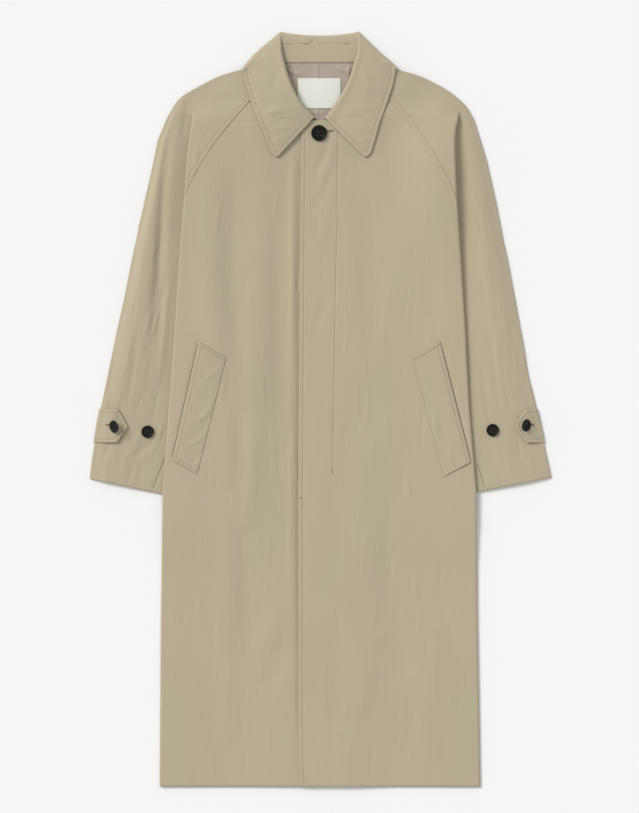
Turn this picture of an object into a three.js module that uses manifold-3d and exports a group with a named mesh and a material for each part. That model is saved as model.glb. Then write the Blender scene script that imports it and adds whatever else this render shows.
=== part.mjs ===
// A balmacaan coat, buttoned and laid flat on its back. Millimetres, +Z up from the surface it lies on.
// +Y is the collar end and +X is the viewer's right. In the tables, u is how far a point lies from the
// coat's middle line, towards the left or the right, and y is its place along the coat.
import * as THREE from 'three';
import { mergeVertices } from 'three/addons/utils/BufferGeometryUtils.js';
import Module from 'manifold-3d';

const wasm = await Module();
wasm.setup();

// Driving sizes
const CLOTH = 2.0;
const LINING = 1.0;
const TRIM = 1.6;
const LAYER_GAP = 0.4;
const SEAM_GAP = 0.3;
const HIDDEN_SEAM_GAP = 1.2;
const LAYER = CLOTH + LAYER_GAP;
const ROLL = LAYER / 2;
const FLOOR_LAYER = CLOTH / 2;
const SLEEVE_LAYER = FLOOR_LAYER + LAYER;
const FLAP_LAYER = FLOOR_LAYER + 2 * LAYER;
const TOP_LAYER = FLOOR_LAYER + 3 * LAYER;
const UNDER_FRONT_LEVEL = 4.6;
const UPPER_FRONT_LEVEL = UNDER_FRONT_LEVEL + LAYER;
const COLLAR_LIFT = 2.6;
const LINING_LIFT = 0.4;
const LIFT_CENTRE_Y = 575;
const LIFT_INNER_RADIUS = 138;
const LIFT_OUTER_RADIUS = 190;
const HEM_Y = -604;
const UNDERARM_Y = 271;
const UNDERARM_U = 133.6;
const RAGLAN_TOP_Y = 524;
const NECK_POINT_Y = 462;
const OVERLAP_EDGE = 28;
const PLACKET_EDGE = 33;
const NECK_BUTTON = 25.6;
const CUFF_BUTTON = 20;
const BUTTON_GAP = 0.3;
const CUFF_LEFT = { innerU: 197.6, innerY: -147, outerY: -110.8 };
const CUFF_RIGHT = { innerU: 196.8, innerY: -143, outerY: -108.6 };

const COLOURS = { cloth: 0xbcb193, lining: 0xb2a396, label: 0xd9d3c4, button: 0x232423 };

const LEFT = { sign: -1, column: 1, cuff: CUFF_LEFT };
const RIGHT = { sign: 1, column: 2, cuff: CUFF_RIGHT };

// Outer edge of shoulder and sleeve: y, u on the left, u on the right
const OUTLINE = [
  [556, 93, 93],
  [551, 101, 100],
  [546.4, 115, 112],
  [533.6, 162.4, 159.2],
  [524, 181.6, 180],
  [514.4, 199.2, 197.6],
  [504.8, 216.8, 212],
  [495.2, 228, 223.2],
  [485.6, 234.4, 232.8],
  [466.4, 245.6, 244],
  [431.2, 260, 255.2],
  [399.2, 266.4, 264.8],
  [335.2, 280.8, 279.2],
  [271.2, 295.2, 292],
  [175.2, 314.4, 311.2],
  [111.2, 328.8, 322.4],
  [47.2, 341.6, 333.6],
  [-16.8, 355.2, 348.8],
  [-80.8, 365.6, 362.4],
  [-110, 369, 369],
];

// Side fold of the body: y, u on the left, u on the right
const CREASE = [
  [482.4, 203.2, 219],
  [447.2, 207.2, 215.2],
  [415.2, 212, 214.4],
  [351.2, 216.8, 216.8],
  [255.2, 224.8, 223.2],
  [127.2, 232.8, 231.2],
  [-0.8, 242.4, 237.6],
  [-128.8, 252, 248.8],
  [-336.8, 255.2, 250.4],
  [-604, 257.1, 255.2],
];

// Front raglan seam from the neck to the side fold: y, u on the left, u on the right
const RAGLAN = [
  [RAGLAN_TOP_Y, 76.5, 76.5],
  [495, 111.4, 111],
  [457.6, 144.2, 142.7],
  [421.6, 172.8, 167.6],
  [390, 192.8, 185.6],
  [360, 208.8, 200.6],
  [345, 215.6, 208],
  [303, 219, 217.4],
];

// Place along the coat, on the left and on the right, where the raglan seam goes round the side fold
const SEAM_TURNS_UNDER = [0, 345, 303];
const SEAM_TURN_LENGTH = 6;
const SEAM_END_KEY = 3.5;

// Neck seam, seen flat: y, u on the left, u on the right
const NECK = [
  [556, 92, 92],
  [546.4, 87.2, 87.2],
  [528.8, 79.2, 79.2],
  [506.4, 66.4, 66.4],
  [482.4, 50.4, 50.4],
  [468, 28, 28],
  [461.6, 7.2, 7.2],
];

// Back raglan seam and side seam, half width of the back panel: y, half width
const BACK_HALF = [
  [555, 60, 60],
  [420, 86, 86],
  [272, 114, 114],
  [250, 116, 116],
  [-147, 179, 178],
  [-604, 190, 188],
];

const clamp01 = (value) => Math.min(1, Math.max(0, value));
const smooth = (value) => clamp01(value) ** 2 * (3 - 2 * clamp01(value));
const mix = THREE.MathUtils.lerp;

// Reads a table of rows, highest y first, at any y between them.
function lookUp(table, y, column) {
  if (y >= table[0][0]) return table[0][column];
  for (let row = 1; row < table.length; row += 1) {
    const [upper, lower] = [table[row - 1], table[row]];
    if (y >= lower[0]) {
      return mix(lower[column], upper[column], (y - lower[0]) / (upper[0] - lower[0]));
    }
  }
  return table[table.length - 1][column];
}

// The back of the collar leaf lies under the neck and lifts every layer there.
function neckLift(x, y, height) {
  const radius = Math.hypot(x, y - LIFT_CENTRE_Y);
  return height * smooth((LIFT_OUTER_RADIUS - radius) / (LIFT_OUTER_RADIUS - LIFT_INNER_RADIUS));
}

// Below the cuffs no sleeve lies under the body, so its sides come down over this length.
const SETTLE_START = 5;
const SETTLE_LENGTH = 125;

function sleeveUnder(y, side) {
  return smooth((y - side.cuff.innerY + SETTLE_START + SETTLE_LENGTH) / SETTLE_LENGTH);
}

// The side fold begins on the shoulder and deepens down to the underarm.
const FOLD_TOP_Y = 482;
const FOLD_FORMED_OVER = 12;
const FOLD_SPREAD = 12;
const FOLD_START_Y = 470;
const FOLD_START_DEPTH = 6;
const FOLD_DEEPENS = 1.2;
// Above it the shoulder is one smooth sheet. Its points keep this far from the outer edge, or these
// shares of the room between the seam and the edge.
const SHOULDER_INSET = 34;
const SHOULDER_INSET_SHARE = 0.5;
const SHOULDER_SPREAD_SHARE = 0.16;

// The side fold at one y: where it lies, how deep the tuck behind it is and how far it has formed.
function foldAt(y, side) {
  const outer = lookUp(OUTLINE, y, side.column);
  if (y > FOLD_TOP_Y) {
    const inner = lookUp(y > RAGLAN_TOP_Y ? NECK : RAGLAN, y, side.column);
    const room = outer - inner;
    const crease = outer - Math.min(SHOULDER_INSET, SHOULDER_INSET_SHARE * room);
    return { crease, depth: 0, amount: 0, spread: Math.min(FOLD_SPREAD, SHOULDER_SPREAD_SHARE * room) };
  }
  const along = clamp01((FOLD_START_Y - y) / (FOLD_START_Y - UNDERARM_Y));
  const crease = lookUp(CREASE, y, side.column);
  const fullDepth = lookUp(CREASE, UNDERARM_Y, side.column) - UNDERARM_U;
  const depth = mix(FOLD_START_DEPTH, fullDepth, along ** FOLD_DEEPENS);
  return { crease, depth, amount: clamp01((FOLD_TOP_Y - y) / FOLD_FORMED_OVER), spread: FOLD_SPREAD };
}

// Between these shares of the way to the side fold the uppermost cloth rises over the tuck behind it.
const OVERLAP_KEY = 0.15;
const LEVEL_KEY = 0.52;
// The shoulder rises towards the beginning of the fold.
const SHOULDER_RISE = 1.2;
const SHOULDER_RISE_Y = 495;
const SHOULDER_RISE_LENGTH = 25;

// Height of the middle of the uppermost cloth, from the coat's middle (key 0) to the side fold (key 1)
function topHeight(key, y, side) {
  const centre = side === LEFT ? UNDER_FRONT_LEVEL : UPPER_FRONT_LEVEL;
  const rise = clamp01((SHOULDER_RISE_Y - y) / SHOULDER_RISE_LENGTH);
  const folded = mix(SLEEVE_LAYER + SHOULDER_RISE, TOP_LAYER, rise);
  const sideLevel = mix(SLEEVE_LAYER, folded, sleeveUnder(y, side));
  return mix(centre, sideLevel, smooth((key - OVERLAP_KEY) / (LEVEL_KEY - OVERLAP_KEY)));
}

const TOP_KEYS = [0, 0.15, 0.25, 0.35, 0.45, 0.55, 0.75, 0.94, 1];
const TURN_PARTS = [0.25, 0.5, 0.75, 1, 2, 2.25, 2.5, 2.75, 3];
const LOW_KEYS = [4.25, 4.5, 4.75];

// One row across the coat above the underarm, from its middle, round the side fold, back under it,
// round the hidden fold and out to the edge of the sleeve. Key 1 to 2 is the side fold, 3 to 4 the
// hidden one and 5 to 6 the edge of the sleeve.
function upperPath(y, side) {
  const fold = foldAt(y, side);
  const outer = lookUp(OUTLINE, y, side.column);
  const hidden = fold.crease - fold.depth;
  const lowLevel = SLEEVE_LAYER;
  const topLevel = topHeight(1, y, side);
  const turn = mix(fold.crease - fold.spread, fold.crease - ROLL, fold.amount);
  const points = TOP_KEYS.map((key) => ({ key, u: key * turn, z: topHeight(key, y, side) }));
  for (const part of TURN_PARTS) {
    const key = part + 1;
    const slope = fold.crease + fold.spread * (2 * part / 3 - 1);
    const round = part <= 1 ? Math.PI * part : Math.PI * (part - 2);
    const creased = fold.crease - ROLL + ROLL * Math.sin(round);
    const tucked = hidden + ROLL - ROLL * Math.sin(round);
    const tuckedLevel = mix(topLevel, lowLevel, 0.5);
    const quarter = (1 - Math.cos(round)) / 2;
    const z = part <= 1 ? mix(topLevel, tuckedLevel, quarter) : mix(tuckedLevel, lowLevel, quarter);
    points.push({ key, u: mix(slope, part <= 1 ? creased : tucked, fold.amount), z });
  }
  const start = points[points.length - 1].u;
  const end = outer - ROLL;
  for (const key of LOW_KEYS) {
    const u = mix(start, end, key - 4);
    points.push({ key, u, z: lowLevel + sleeveLoft(u, fold.crease, outer) * fold.amount });
  }
  pushOuterRoll(points, end, lowLevel);
  return points;
}

// The sleeve rises a little between the body's side fold and its own outer edge.
const LOFT = 2;
const LOFT_START = 14;
const LOFT_END = 4;

function sleeveLoft(u, crease, outer) {
  const width = outer - crease - LOFT_START - LOFT_END;
  return LOFT * Math.sin(Math.PI * clamp01((u - crease - LOFT_START) / width));
}

// Quarter roll from the sleeve's upper half down to the seam along its edge
function pushOuterRoll(points, end, level) {
  for (const part of [0, 0.5, 1]) {
    const angle = part * Math.PI / 2;
    const drop = ROLL * (1 - Math.cos(angle)) - (part === 1 ? SEAM_GAP / 2 : 0);
    const tangent = [Math.cos(angle), -Math.sin(angle)];
    points.push({ key: 5 + part, u: end + ROLL * Math.sin(angle), z: level - drop, tangent });
  }
}

// Linear point on a path at any key
function pointAt(points, key) {
  for (let index = 1; index < points.length; index += 1) {
    const [before, after] = [points[index - 1], points[index]];
    if (key <= after.key) {
      const part = clamp01((key - before.key) / (after.key - before.key));
      return { key, u: mix(before.u, after.u, part), z: mix(before.z, after.z, part) };
    }
  }
  return { ...points[points.length - 1] };
}

// The stretch of a path between two keys. Its ends take the direction of the path about them, and
// points of the path that lie too close to an end are left out.
const SAME_KEY = 1e-6;
const TANGENT_KEYS = 0.06;
const CLOSEST_POINTS = 0.7;

function stretch(points, fromKey, toKey) {
  const inside = points.filter(({ key }) => key > fromKey + SAME_KEY && key < toKey - SAME_KEY);
  const ends = [fromKey, toKey].map((key) => {
    const own = points.find((point) => point.tangent && Math.abs(point.key - key) < SAME_KEY);
    if (own) return { ...own };
    const [before, after] = [pointAt(points, key - TANGENT_KEYS), pointAt(points, key + TANGENT_KEYS)];
    return { ...pointAt(points, key), tangent: [after.u - before.u, after.z - before.z] };
  });
  const kept = inside.filter((point) => {
    return ends.every((end) => Math.hypot(point.u - end.u, point.z - end.z) > CLOSEST_POINTS);
  });
  return [ends[0], ...kept, ends[1]];
}

// Holds one end of a row back by half a seam gap, the wider one where the seam is hidden in the fold.
const HIDDEN_FROM_KEY = 0.97;

function holdBack(points, atStart) {
  const hidden = points[atStart ? 0 : points.length - 1].key > HIDDEN_FROM_KEY;
  const end = atStart ? points[0] : points[points.length - 1];
  const next = atStart ? points[1] : points[points.length - 2];
  const length = Math.hypot(next.u - end.u, next.z - end.z);
  const part = (hidden ? HIDDEN_SEAM_GAP : SEAM_GAP) / 2 / length;
  end.u = mix(end.u, next.u, part);
  end.z = mix(end.z, next.z, part);
}

// Key at which the raglan seam crosses the row at y
function raglanKey(y, side) {
  const turnsUnder = SEAM_TURNS_UNDER[side.column];
  if (y >= turnsUnder) {
    const path = upperPath(y, side);
    const u = lookUp(RAGLAN, y, side.column);
    return u / path.find(({ key }) => key === 1).u;
  }
  const turned = turnsUnder - SEAM_TURN_LENGTH;
  if (y >= turned) return 1 + (turnsUnder - y) / SEAM_TURN_LENGTH;
  return mix(2, SEAM_END_KEY, clamp01((turned - y) / (turned - UNDERARM_Y)));
}

// Turns points of one row, given by u and z, into places and normals in space. At a bend the normal is
// longer, so that the wall keeps its thickness, but not longer than this.
const LONGEST_NORMAL = 1.3;
const SHORTEST_SUM = 0.4;

function placeRow(points, side, startY, endY, lift) {
  const first = points[0].u;
  const span = points[points.length - 1].u - first || 1;
  return points.map((point, index) => {
    const before = points[Math.max(0, index - 1)];
    const after = points[Math.min(points.length - 1, index + 1)];
    const steps = [];
    if (index > 0) steps.push([point.u - before.u, point.z - before.z]);
    if (index < points.length - 1) steps.push([after.u - point.u, after.z - point.z]);
    const turned = point.tangent ? [point.tangent, point.tangent] : steps;
    const unit = turned.map(([du, dz]) => [du / Math.hypot(du, dz), dz / Math.hypot(du, dz)]);
    const du = unit.reduce((sum, step) => sum + step[0], 0);
    const dz = unit.reduce((sum, step) => sum + step[1], 0);
    const length = Math.hypot(du, dz) || 1;
    const spread = Math.min(LONGEST_NORMAL, unit.length / Math.max(SHORTEST_SUM, length));
    const y = mix(startY, endY, (point.u - first) / span);
    const x = side.sign * point.u;
    const place = new THREE.Vector3(x, y, point.z + neckLift(x, y, lift));
    const normal = new THREE.Vector3(-side.sign * dz / length, 0, du / length).multiplyScalar(spread);
    return { key: point.key, place, normal };
  });
}

// A closed wall of cloth round rows of points with normals. Rows may differ in their number of
// points: neighbouring rows are joined in the order of the points' keys.
function closedSheet(rows, wall) {
  const places = [];
  const faces = [];
  const add = (point, offset) => {
    const moved = point.place.clone().addScaledVector(point.normal, offset);
    places.push(moved.x, moved.y, moved.z);
    return places.length / 3 - 1;
  };
  const upper = rows.map((row) => row.map((point) => add(point, wall / 2)));
  const lower = rows.map((row) => row.map((point) => add(point, -wall / 2)));
  const quad = (a, b, c, d) => faces.push([a, b, c], [a, c, d]);
  for (let index = 0; index + 1 < rows.length; index += 1) {
    zipRows(rows[index], rows[index + 1], (a, b, c) => {
      const at = (layer, spot) => layer[index + spot[0]][spot[1]];
      faces.push([at(upper, a), at(upper, b), at(upper, c)]);
      faces.push([at(lower, c), at(lower, b), at(lower, a)]);
    });
    const [here, there] = [rows[index].length - 1, rows[index + 1].length - 1];
    quad(upper[index][0], upper[index + 1][0], lower[index + 1][0], lower[index][0]);
    quad(upper[index][here], lower[index][here], lower[index + 1][there], upper[index + 1][there]);
  }
  const last = rows.length - 1;
  for (let spot = 0; spot + 1 < rows[0].length; spot += 1) {
    quad(upper[0][spot + 1], upper[0][spot], lower[0][spot], lower[0][spot + 1]);
  }
  for (let spot = 0; spot + 1 < rows[last].length; spot += 1) {
    quad(upper[last][spot], upper[last][spot + 1], lower[last][spot + 1], lower[last][spot]);
  }
  return facingOut(places, faces);
}

// Joins two rows with triangles, always going on along the row whose next key comes first.
function zipRows(rowA, rowB, addFace) {
  let a = 0;
  let b = 0;
  while (a < rowA.length - 1 || b < rowB.length - 1) {
    const nextA = a < rowA.length - 1 ? rowA[a + 1].key : Infinity;
    const nextB = b < rowB.length - 1 ? rowB[b + 1].key : Infinity;
    if (nextA <= nextB) {
      addFace([0, a], [0, a + 1], [1, b]);
      a += 1;
    } else {
      addFace([0, a], [1, b + 1], [1, b]);
      b += 1;
    }
  }
}

function facingOut(places, faces) {
  const at = (index) => new THREE.Vector3().fromArray(places, index * 3);
  const volume = faces.reduce((sum, [a, b, c]) => sum + at(a).dot(at(b).cross(at(c))), 0);
  const turned = volume < 0 ? faces.map(([a, b, c]) => [a, c, b]) : faces;
  const geometry = new THREE.BufferGeometry();
  geometry.setAttribute('position', new THREE.Float32BufferAttribute(places, 3));
  geometry.setIndex(turned.flat());
  return geometry;
}

// Fronts
const UPPER_ROWS = [524, 514, 504, 495, 486, 478, 470, 463, 458, 440, 421, 400, 380, 360, 340, 320];
const FRONT_TOP_Y = 520;
const SIDE_SEAM_KEY = 4.3;
const FRONT_LOWER_ROWS = [250, 190, 127, 63, 0, -65, -129, -147, -152, -180, -215, -250, -280, -337, -470];
const NECK_ALLOWANCE = 1;
const SEAM_SLOPE = 15;

// How far a front's inner edge lies from the middle: the neck curve above, the straight overlap below
function frontInnerU(y, side) {
  if (y > NECK_POINT_Y) return lookUp(NECK, y, side.column) + NECK_ALLOWANCE;
  return side === LEFT ? -OVERLAP_EDGE : -PLACKET_EDGE;
}

// Row below the underarm: round the side fold, back under it and down a slope to the side seam
function lowerFrontPath(y, side) {
  const crease = lookUp(CREASE, y, side.column);
  const under = sleeveUnder(y, side);
  const topLevel = topHeight(1, y, side);
  const flapLevel = mix(FLOOR_LAYER, FLAP_LAYER, under);
  const seam = lookUp(BACK_HALF, y, side.column) + SEAM_GAP;
  const points = TOP_KEYS.map((key) => ({ key, u: key * (crease - ROLL), z: topHeight(key, y, side) }));
  for (const part of [0.25, 0.5, 0.75, 1]) {
    const angle = Math.PI * part;
    const z = mix(topLevel, flapLevel, (1 - Math.cos(angle)) / 2);
    points.push({ key: 1 + part, u: crease - ROLL + ROLL * Math.sin(angle), z });
  }
  points.push({ key: 3, u: seam + SEAM_SLOPE, z: flapLevel });
  points.push({ key: 3.5, u: seam + SEAM_SLOPE * 2 / 3, z: mix(flapLevel, FLOOR_LAYER, 0.5) });
  points.push({ key: 4, u: seam + SEAM_SLOPE / 3, z: FLOOR_LAYER });
  points.push({ key: SIDE_SEAM_KEY, u: seam, z: FLOOR_LAYER });
  return points;
}

// Cuts a path from a front's inner edge to its seam. The overlap goes on past the middle at one level.
function frontRow(path, innerU, seamKey) {
  const innerKey = innerU / path.find(({ key }) => key === 1).u;
  if (innerKey >= 0) return stretch(path, innerKey, seamKey);
  return [{ ...path[0], key: innerKey, u: innerU }, ...stretch(path, 0, seamKey)];
}

function frontPanel(side) {
  const rows = [];
  for (const y of [FRONT_TOP_Y, ...seamRows(side).filter((height) => height < FRONT_TOP_Y)]) {
    const row = frontRow(upperPath(y, side), frontInnerU(y, side), raglanKey(y, side));
    holdBack(row, false);
    rows.push(placeRow(row, side, y, y, COLLAR_LIFT + LINING_LIFT));
  }
  for (const y of [...FRONT_LOWER_ROWS, HEM_Y]) {
    const row = frontRow(lowerFrontPath(y, side), frontInnerU(y, side), SIDE_SEAM_KEY);
    rows.push(placeRow(row, side, y, y, COLLAR_LIFT + LINING_LIFT));
  }
  return closedSheet(rows, CLOTH);
}

// Sleeves
const SLEEVE_TOP_ROWS = [551, 546.4, 540, 533.6];
const SLEEVE_LOWER_PARTS = [0, 0.117, 0.234, 0.406, 0.578, 0.75, 0.92, 1];
const SLEEVE_START_Y = 262;
const UNDERARM_ALLOWANCE = 1;
const CREASE_SHARE = 0.4;

function sleeveInnerKey(y, side) {
  if (y > RAGLAN_TOP_Y) {
    const path = upperPath(y, side);
    return (lookUp(NECK, y, side.column) + NECK_ALLOWANCE) / path.find(({ key }) => key === 1).u;
  }
  return raglanKey(y, side);
}

// Rows of the sleeve below the underarm swing round from straight across to the cuff's slant.
function sleeveEnds(part, side) {
  const innerY = mix(SLEEVE_START_Y, side.cuff.innerY, part);
  const outerY = mix(SLEEVE_START_Y, side.cuff.outerY, part);
  const innerU = mix(UNDERARM_U + UNDERARM_ALLOWANCE, side.cuff.innerU, part);
  return { innerY, outerY, innerU, outerU: lookUp(OUTLINE, outerY, side.column) };
}

function lowerSleevePath(ends, side) {
  const crease = lookUp(CREASE, mix(ends.innerY, ends.outerY, CREASE_SHARE), side.column);
  const points = [];
  for (const part of [0, 0.5, 1]) {
    const angle = (1 - part) * Math.PI / 2;
    const rise = ROLL * Math.cos(angle) + (part === 0 ? SEAM_GAP / 2 : 0);
    const u = ends.innerU + ROLL * (1 - Math.sin(angle));
    const tangent = [Math.cos(angle), Math.sin(angle)];
    points.push({ key: 3.6 + 0.2 * part, u, z: SLEEVE_LAYER - ROLL + rise, tangent });
  }
  const [start, end] = [ends.innerU + ROLL, ends.outerU - ROLL];
  for (const key of LOW_KEYS) {
    const u = mix(start, end, key - 4);
    points.push({ key, u, z: SLEEVE_LAYER + sleeveLoft(u, crease, ends.outerU) });
  }
  pushOuterRoll(points, end, SLEEVE_LAYER);
  return points;
}

// Rows near the place where the raglan seam goes round the side fold lie close together.
const CLEAR_OF_TURN = 8;

function seamRows(side) {
  const turnsUnder = SEAM_TURNS_UNDER[side.column];
  const turned = turnsUnder - SEAM_TURN_LENGTH;
  const hidden = [0, 0.4, 2 / 3, 1].map((part) => mix(turned, UNDERARM_Y, part));
  const above = UPPER_ROWS.filter((y) => y > turnsUnder + CLEAR_OF_TURN);
  return [...above, turnsUnder, (turnsUnder + turned) / 2, ...hidden];
}

const sleeveUpperRows = (side) => [...SLEEVE_TOP_ROWS, ...seamRows(side)];

function sleeveFront(side) {
  const rows = [];
  for (const y of sleeveUpperRows(side)) {
    const row = stretch(upperPath(y, side), sleeveInnerKey(y, side), 6);
    holdBack(row, true);
    rows.push(placeRow(row, side, y, y, COLLAR_LIFT + LINING_LIFT));
  }
  for (const part of SLEEVE_LOWER_PARTS) {
    const ends = sleeveEnds(part, side);
    rows.push(placeRow(lowerSleevePath(ends, side), side, ends.innerY, ends.outerY, 0));
  }
  return closedSheet(rows, CLOTH);
}

// The back half lies on the surface and turns up at the sleeve's edges to meet the front half.
function flatSleevePath(innerU, outerU, turnsUp) {
  const points = [];
  const edge = (part, u, sign, key) => {
    const angle = part * Math.PI / 2;
    const rise = ROLL * (1 - Math.cos(angle)) - (part === 1 ? SEAM_GAP / 2 : 0);
    const tangent = [Math.cos(angle), sign * Math.sin(angle)];
    points.push({ key, u: u + sign * ROLL * Math.sin(angle), z: FLOOR_LAYER + rise, tangent });
  };
  if (turnsUp) {
    edge(1, innerU + ROLL, -1, 0);
    edge(0.5, innerU + ROLL, -1, 0.1);
    edge(0, innerU + ROLL, -1, 0.2);
  } else {
    points.push({ key: 0, u: innerU, z: FLOOR_LAYER });
  }
  for (const part of [0.3, 0.45, 0.6, 0.75]) {
    points.push({ key: part, u: mix(innerU, outerU, part), z: FLOOR_LAYER });
  }
  edge(0, outerU - ROLL, 1, 0.9);
  edge(0.5, outerU - ROLL, 1, 0.95);
  edge(1, outerU - ROLL, 1, 1);
  return points;
}

function sleeveBack(side) {
  const rows = [];
  for (const y of sleeveUpperRows(side)) {
    const inner = lookUp(BACK_HALF, y, side.column) + SEAM_GAP;
    const path = flatSleevePath(inner, lookUp(OUTLINE, y, side.column), false);
    rows.push(placeRow(path, side, y, y, COLLAR_LIFT));
  }
  for (const part of SLEEVE_LOWER_PARTS) {
    const ends = sleeveEnds(part, side);
    const path = flatSleevePath(ends.innerU, ends.outerU, true);
    rows.push(placeRow(path, side, ends.innerY, ends.outerY, 0));
  }
  return closedSheet(rows, CLOTH);
}

// A flat row from one u to another, used by the back, the lining and the label
function flatRow(y, from, to, parts, level, lift) {
  const points = [];
  for (let part = 0; part <= parts; part += 1) {
    points.push({ key: part / parts, u: mix(from, to, part / parts), z: level });
  }
  return placeRow(points, RIGHT, y, y, lift);
}

const BACK_ROWS = [555, 540, 525, 510, 495, 480, 465, 450, 435, 415, 390, 330, 272, 250, -147, HEM_Y];
const PARTS_ACROSS = 8;

function backPanel() {
  const rows = [];
  for (const y of BACK_ROWS) {
    const [left, right] = [LEFT, RIGHT].map((side) => lookUp(BACK_HALF, y, side.column));
    rows.push(flatRow(y, -left, right, PARTS_ACROSS, FLOOR_LAYER, COLLAR_LIFT));
  }
  return closedSheet(rows, CLOTH);
}

// Lining behind the neck: y, half width
const LINING_ROWS = [
  [553, 57],
  [530, 70],
  [506, 62],
  [490, 58],
  [470, 44],
  [455, 38],
];
const LINING_LEVEL = CLOTH + LAYER_GAP + LINING / 2;

function liningPanel() {
  const rows = LINING_ROWS.map(([y, half]) => {
    return flatRow(y, -half, half, PARTS_ACROSS, LINING_LEVEL, COLLAR_LIFT);
  });
  return closedSheet(rows, LINING);
}

const LABEL = { left: -36.2, right: 32, rows: [530, 506, 482], across: 4 };

function labelPatch() {
  const level = LINING_LEVEL + LINING + SEAM_GAP;
  const rows = LABEL.rows.map((y) => flatRow(y, LABEL.left, LABEL.right, LABEL.across, level, COLLAR_LIFT));
  return closedSheet(rows, LINING);
}

// Height of the uppermost cloth's upper face at a place on the coat
function topFace(x, y) {
  const inFly = y < NECK_POINT_Y && x > -PLACKET_EDGE;
  const upperSide = inFly || x >= 0 ? RIGHT : LEFT;
  const u = upperSide === RIGHT ? x : -x;
  const lift = neckLift(x, y, COLLAR_LIFT + LINING_LIFT);
  const path = y > UNDERARM_Y ? upperPath(y, upperSide) : lowerFrontPath(y, upperSide);
  const top = path.filter(({ key }) => key <= 1);
  const turn = top[top.length - 1].u;
  if (u <= turn) return pointAt(top, Math.max(0, u / turn)).z + CLOTH / 2 + lift;
  const low = path.filter(({ key }) => key >= 4);
  const beyond = low.find((point) => point.u >= u) ?? low[low.length - 1];
  return beyond.z + CLOTH / 2 + lift;
}

// Collar: half tables from the front end to the shoulder corner. Neck seam, roll and outer edge in
// u and y, and the height of the roll
const COLLAR_LEFT = [
  { neck: [9, 465], roll: [12, 471], rollZ: 14.5, edge: [69.6, 403.2] },
  { neck: [28, 472], roll: [18, 476.5], rollZ: 16, edge: [76.5, 409] },
  { neck: [48, 482.5], roll: [25, 482], rollZ: 17.5, edge: [85, 428] },
  { neck: [58, 495], roll: [36.2, 499], rollZ: 19, edge: [96.3, 456.5] },
  { neck: [67.5, 512], roll: [45.5, 517], rollZ: 20, edge: [109.5, 489] },
  { neck: [76, 528], roll: [52, 535], rollZ: 19, edge: [118.3, 517] },
  { neck: [82, 541], roll: [57, 553], rollZ: 17.5, edge: [122.8, 535] },
  { neck: [86, 549], roll: [61, 568], rollZ: 15.5, edge: [124.5, 546.4] },
];
const COLLAR_RIGHT = [
  { neck: [9, 465], roll: [8, 471], rollZ: 16, edge: [71.2, 403.2] },
  { neck: [28, 472], roll: [15, 476.5], rollZ: 17.5, edge: [79, 409.5] },
  { neck: [48, 482.5], roll: [20, 483.7], rollZ: 19, edge: [84.5, 425] },
  { neck: [58, 495], roll: [32.6, 503], rollZ: 20, edge: [94, 458] },
  { neck: [67.5, 512], roll: [42, 520], rollZ: 20.5, edge: [106, 491] },
  { neck: [76, 528], roll: [49, 538], rollZ: 19, edge: [115, 519] },
  { neck: [82, 541], roll: [54, 555], rollZ: 17.5, edge: [119, 538] },
  { neck: [86, 549], roll: [58, 568], rollZ: 15.5, edge: [120.8, 548.5] },
];
// Round the shoulder the leaf folds over the edge of the coat and goes on under it.
const CORNER_LEFT = [
  { neck: [88, 551], neckZ: 6.6, roll: [61.8, 572], rollZ: 15, fold: [125.4, 548] },
  { neck: [89, 553], neckZ: 6.2, roll: [62, 577], rollZ: 14, fold: [120, 554], edge: [113, 546] },
  { neck: [84, 558], neckZ: 5, roll: [63, 589], rollZ: 11.4, fold: [100.2, 573.8], edge: [84, 546] },
  { neck: [74, 558], neckZ: 4.5, roll: [63.2, 594], rollZ: 9.6, fold: [84, 588.5], edge: [70, 546] },
  { neck: [62, 558], neckZ: 4, roll: [61.5, 598], rollZ: 7, fold: [64.3, 603.8], edge: [58, 545] },
];
const CORNER_RIGHT = [
  { neck: [88, 551], neckZ: 6.6, roll: [58.8, 572], rollZ: 15, fold: [121.6, 550] },
  { neck: [89, 553], neckZ: 6.2, roll: [59, 577], rollZ: 14, fold: [117, 555], edge: [110, 546] },
  { neck: [84, 558], neckZ: 5, roll: [60, 589], rollZ: 11.4, fold: [96, 573], edge: [80, 547] },
  { neck: [74, 558], neckZ: 4.5, roll: [60.4, 594], rollZ: 9.6, fold: [79, 588.5], edge: [68, 546] },
  { neck: [62, 558], neckZ: 4, roll: [58.5, 598], rollZ: 7, fold: [61.3, 603.8], edge: [56, 545] },
];
// Across the back of the neck: x, y of the top fold
const COLLAR_BACK = [
  { x: -40, y: 600.5 },
  { x: 0, y: 598.2 },
  { x: 40, y: 600.5 },
];
const STAND_PART = 0.42;
const STAND_GAP = 0.5;
const STAND_TOP_Y = 545;
const LOWEST_NECK = 6.8;
const UNDER_LEVEL = FLOOR_LAYER;
const FOLD_TOP = 9.6;
const LEAF_CLEARANCE = 1.6;
const LEAF_CROWN = 1.2;
const LEAF_CURVE = 0.9;
const SHORTEST_LEAF_STEP = 2.4;
// Two points of the stand below its roll: how far inwards from the roll and how far below it, and the
// lowest share of the stand's height each may take
const UNDER_ROLL = [
  { key: 0.6, inwards: 5, below: 4.4, share: 0.45 },
  { key: 1, inwards: 0.6, below: 1.9, share: 0.75 },
];
const ROLL_REACH_SHARE = 0.3;
const OVER_ROLL = { key: 1.3, outwards: 1.6, below: 0.1 };
// Points on the leaf: key and share of the way from the roll to the edge
const LEAF_POINTS = [
  [1.7, 0.14],
  [2.2, 0.38],
  [2.6, 0.68],
];

const vector = ([u, y], z, side) => new THREE.Vector3(side.sign * u, y, z);

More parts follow.
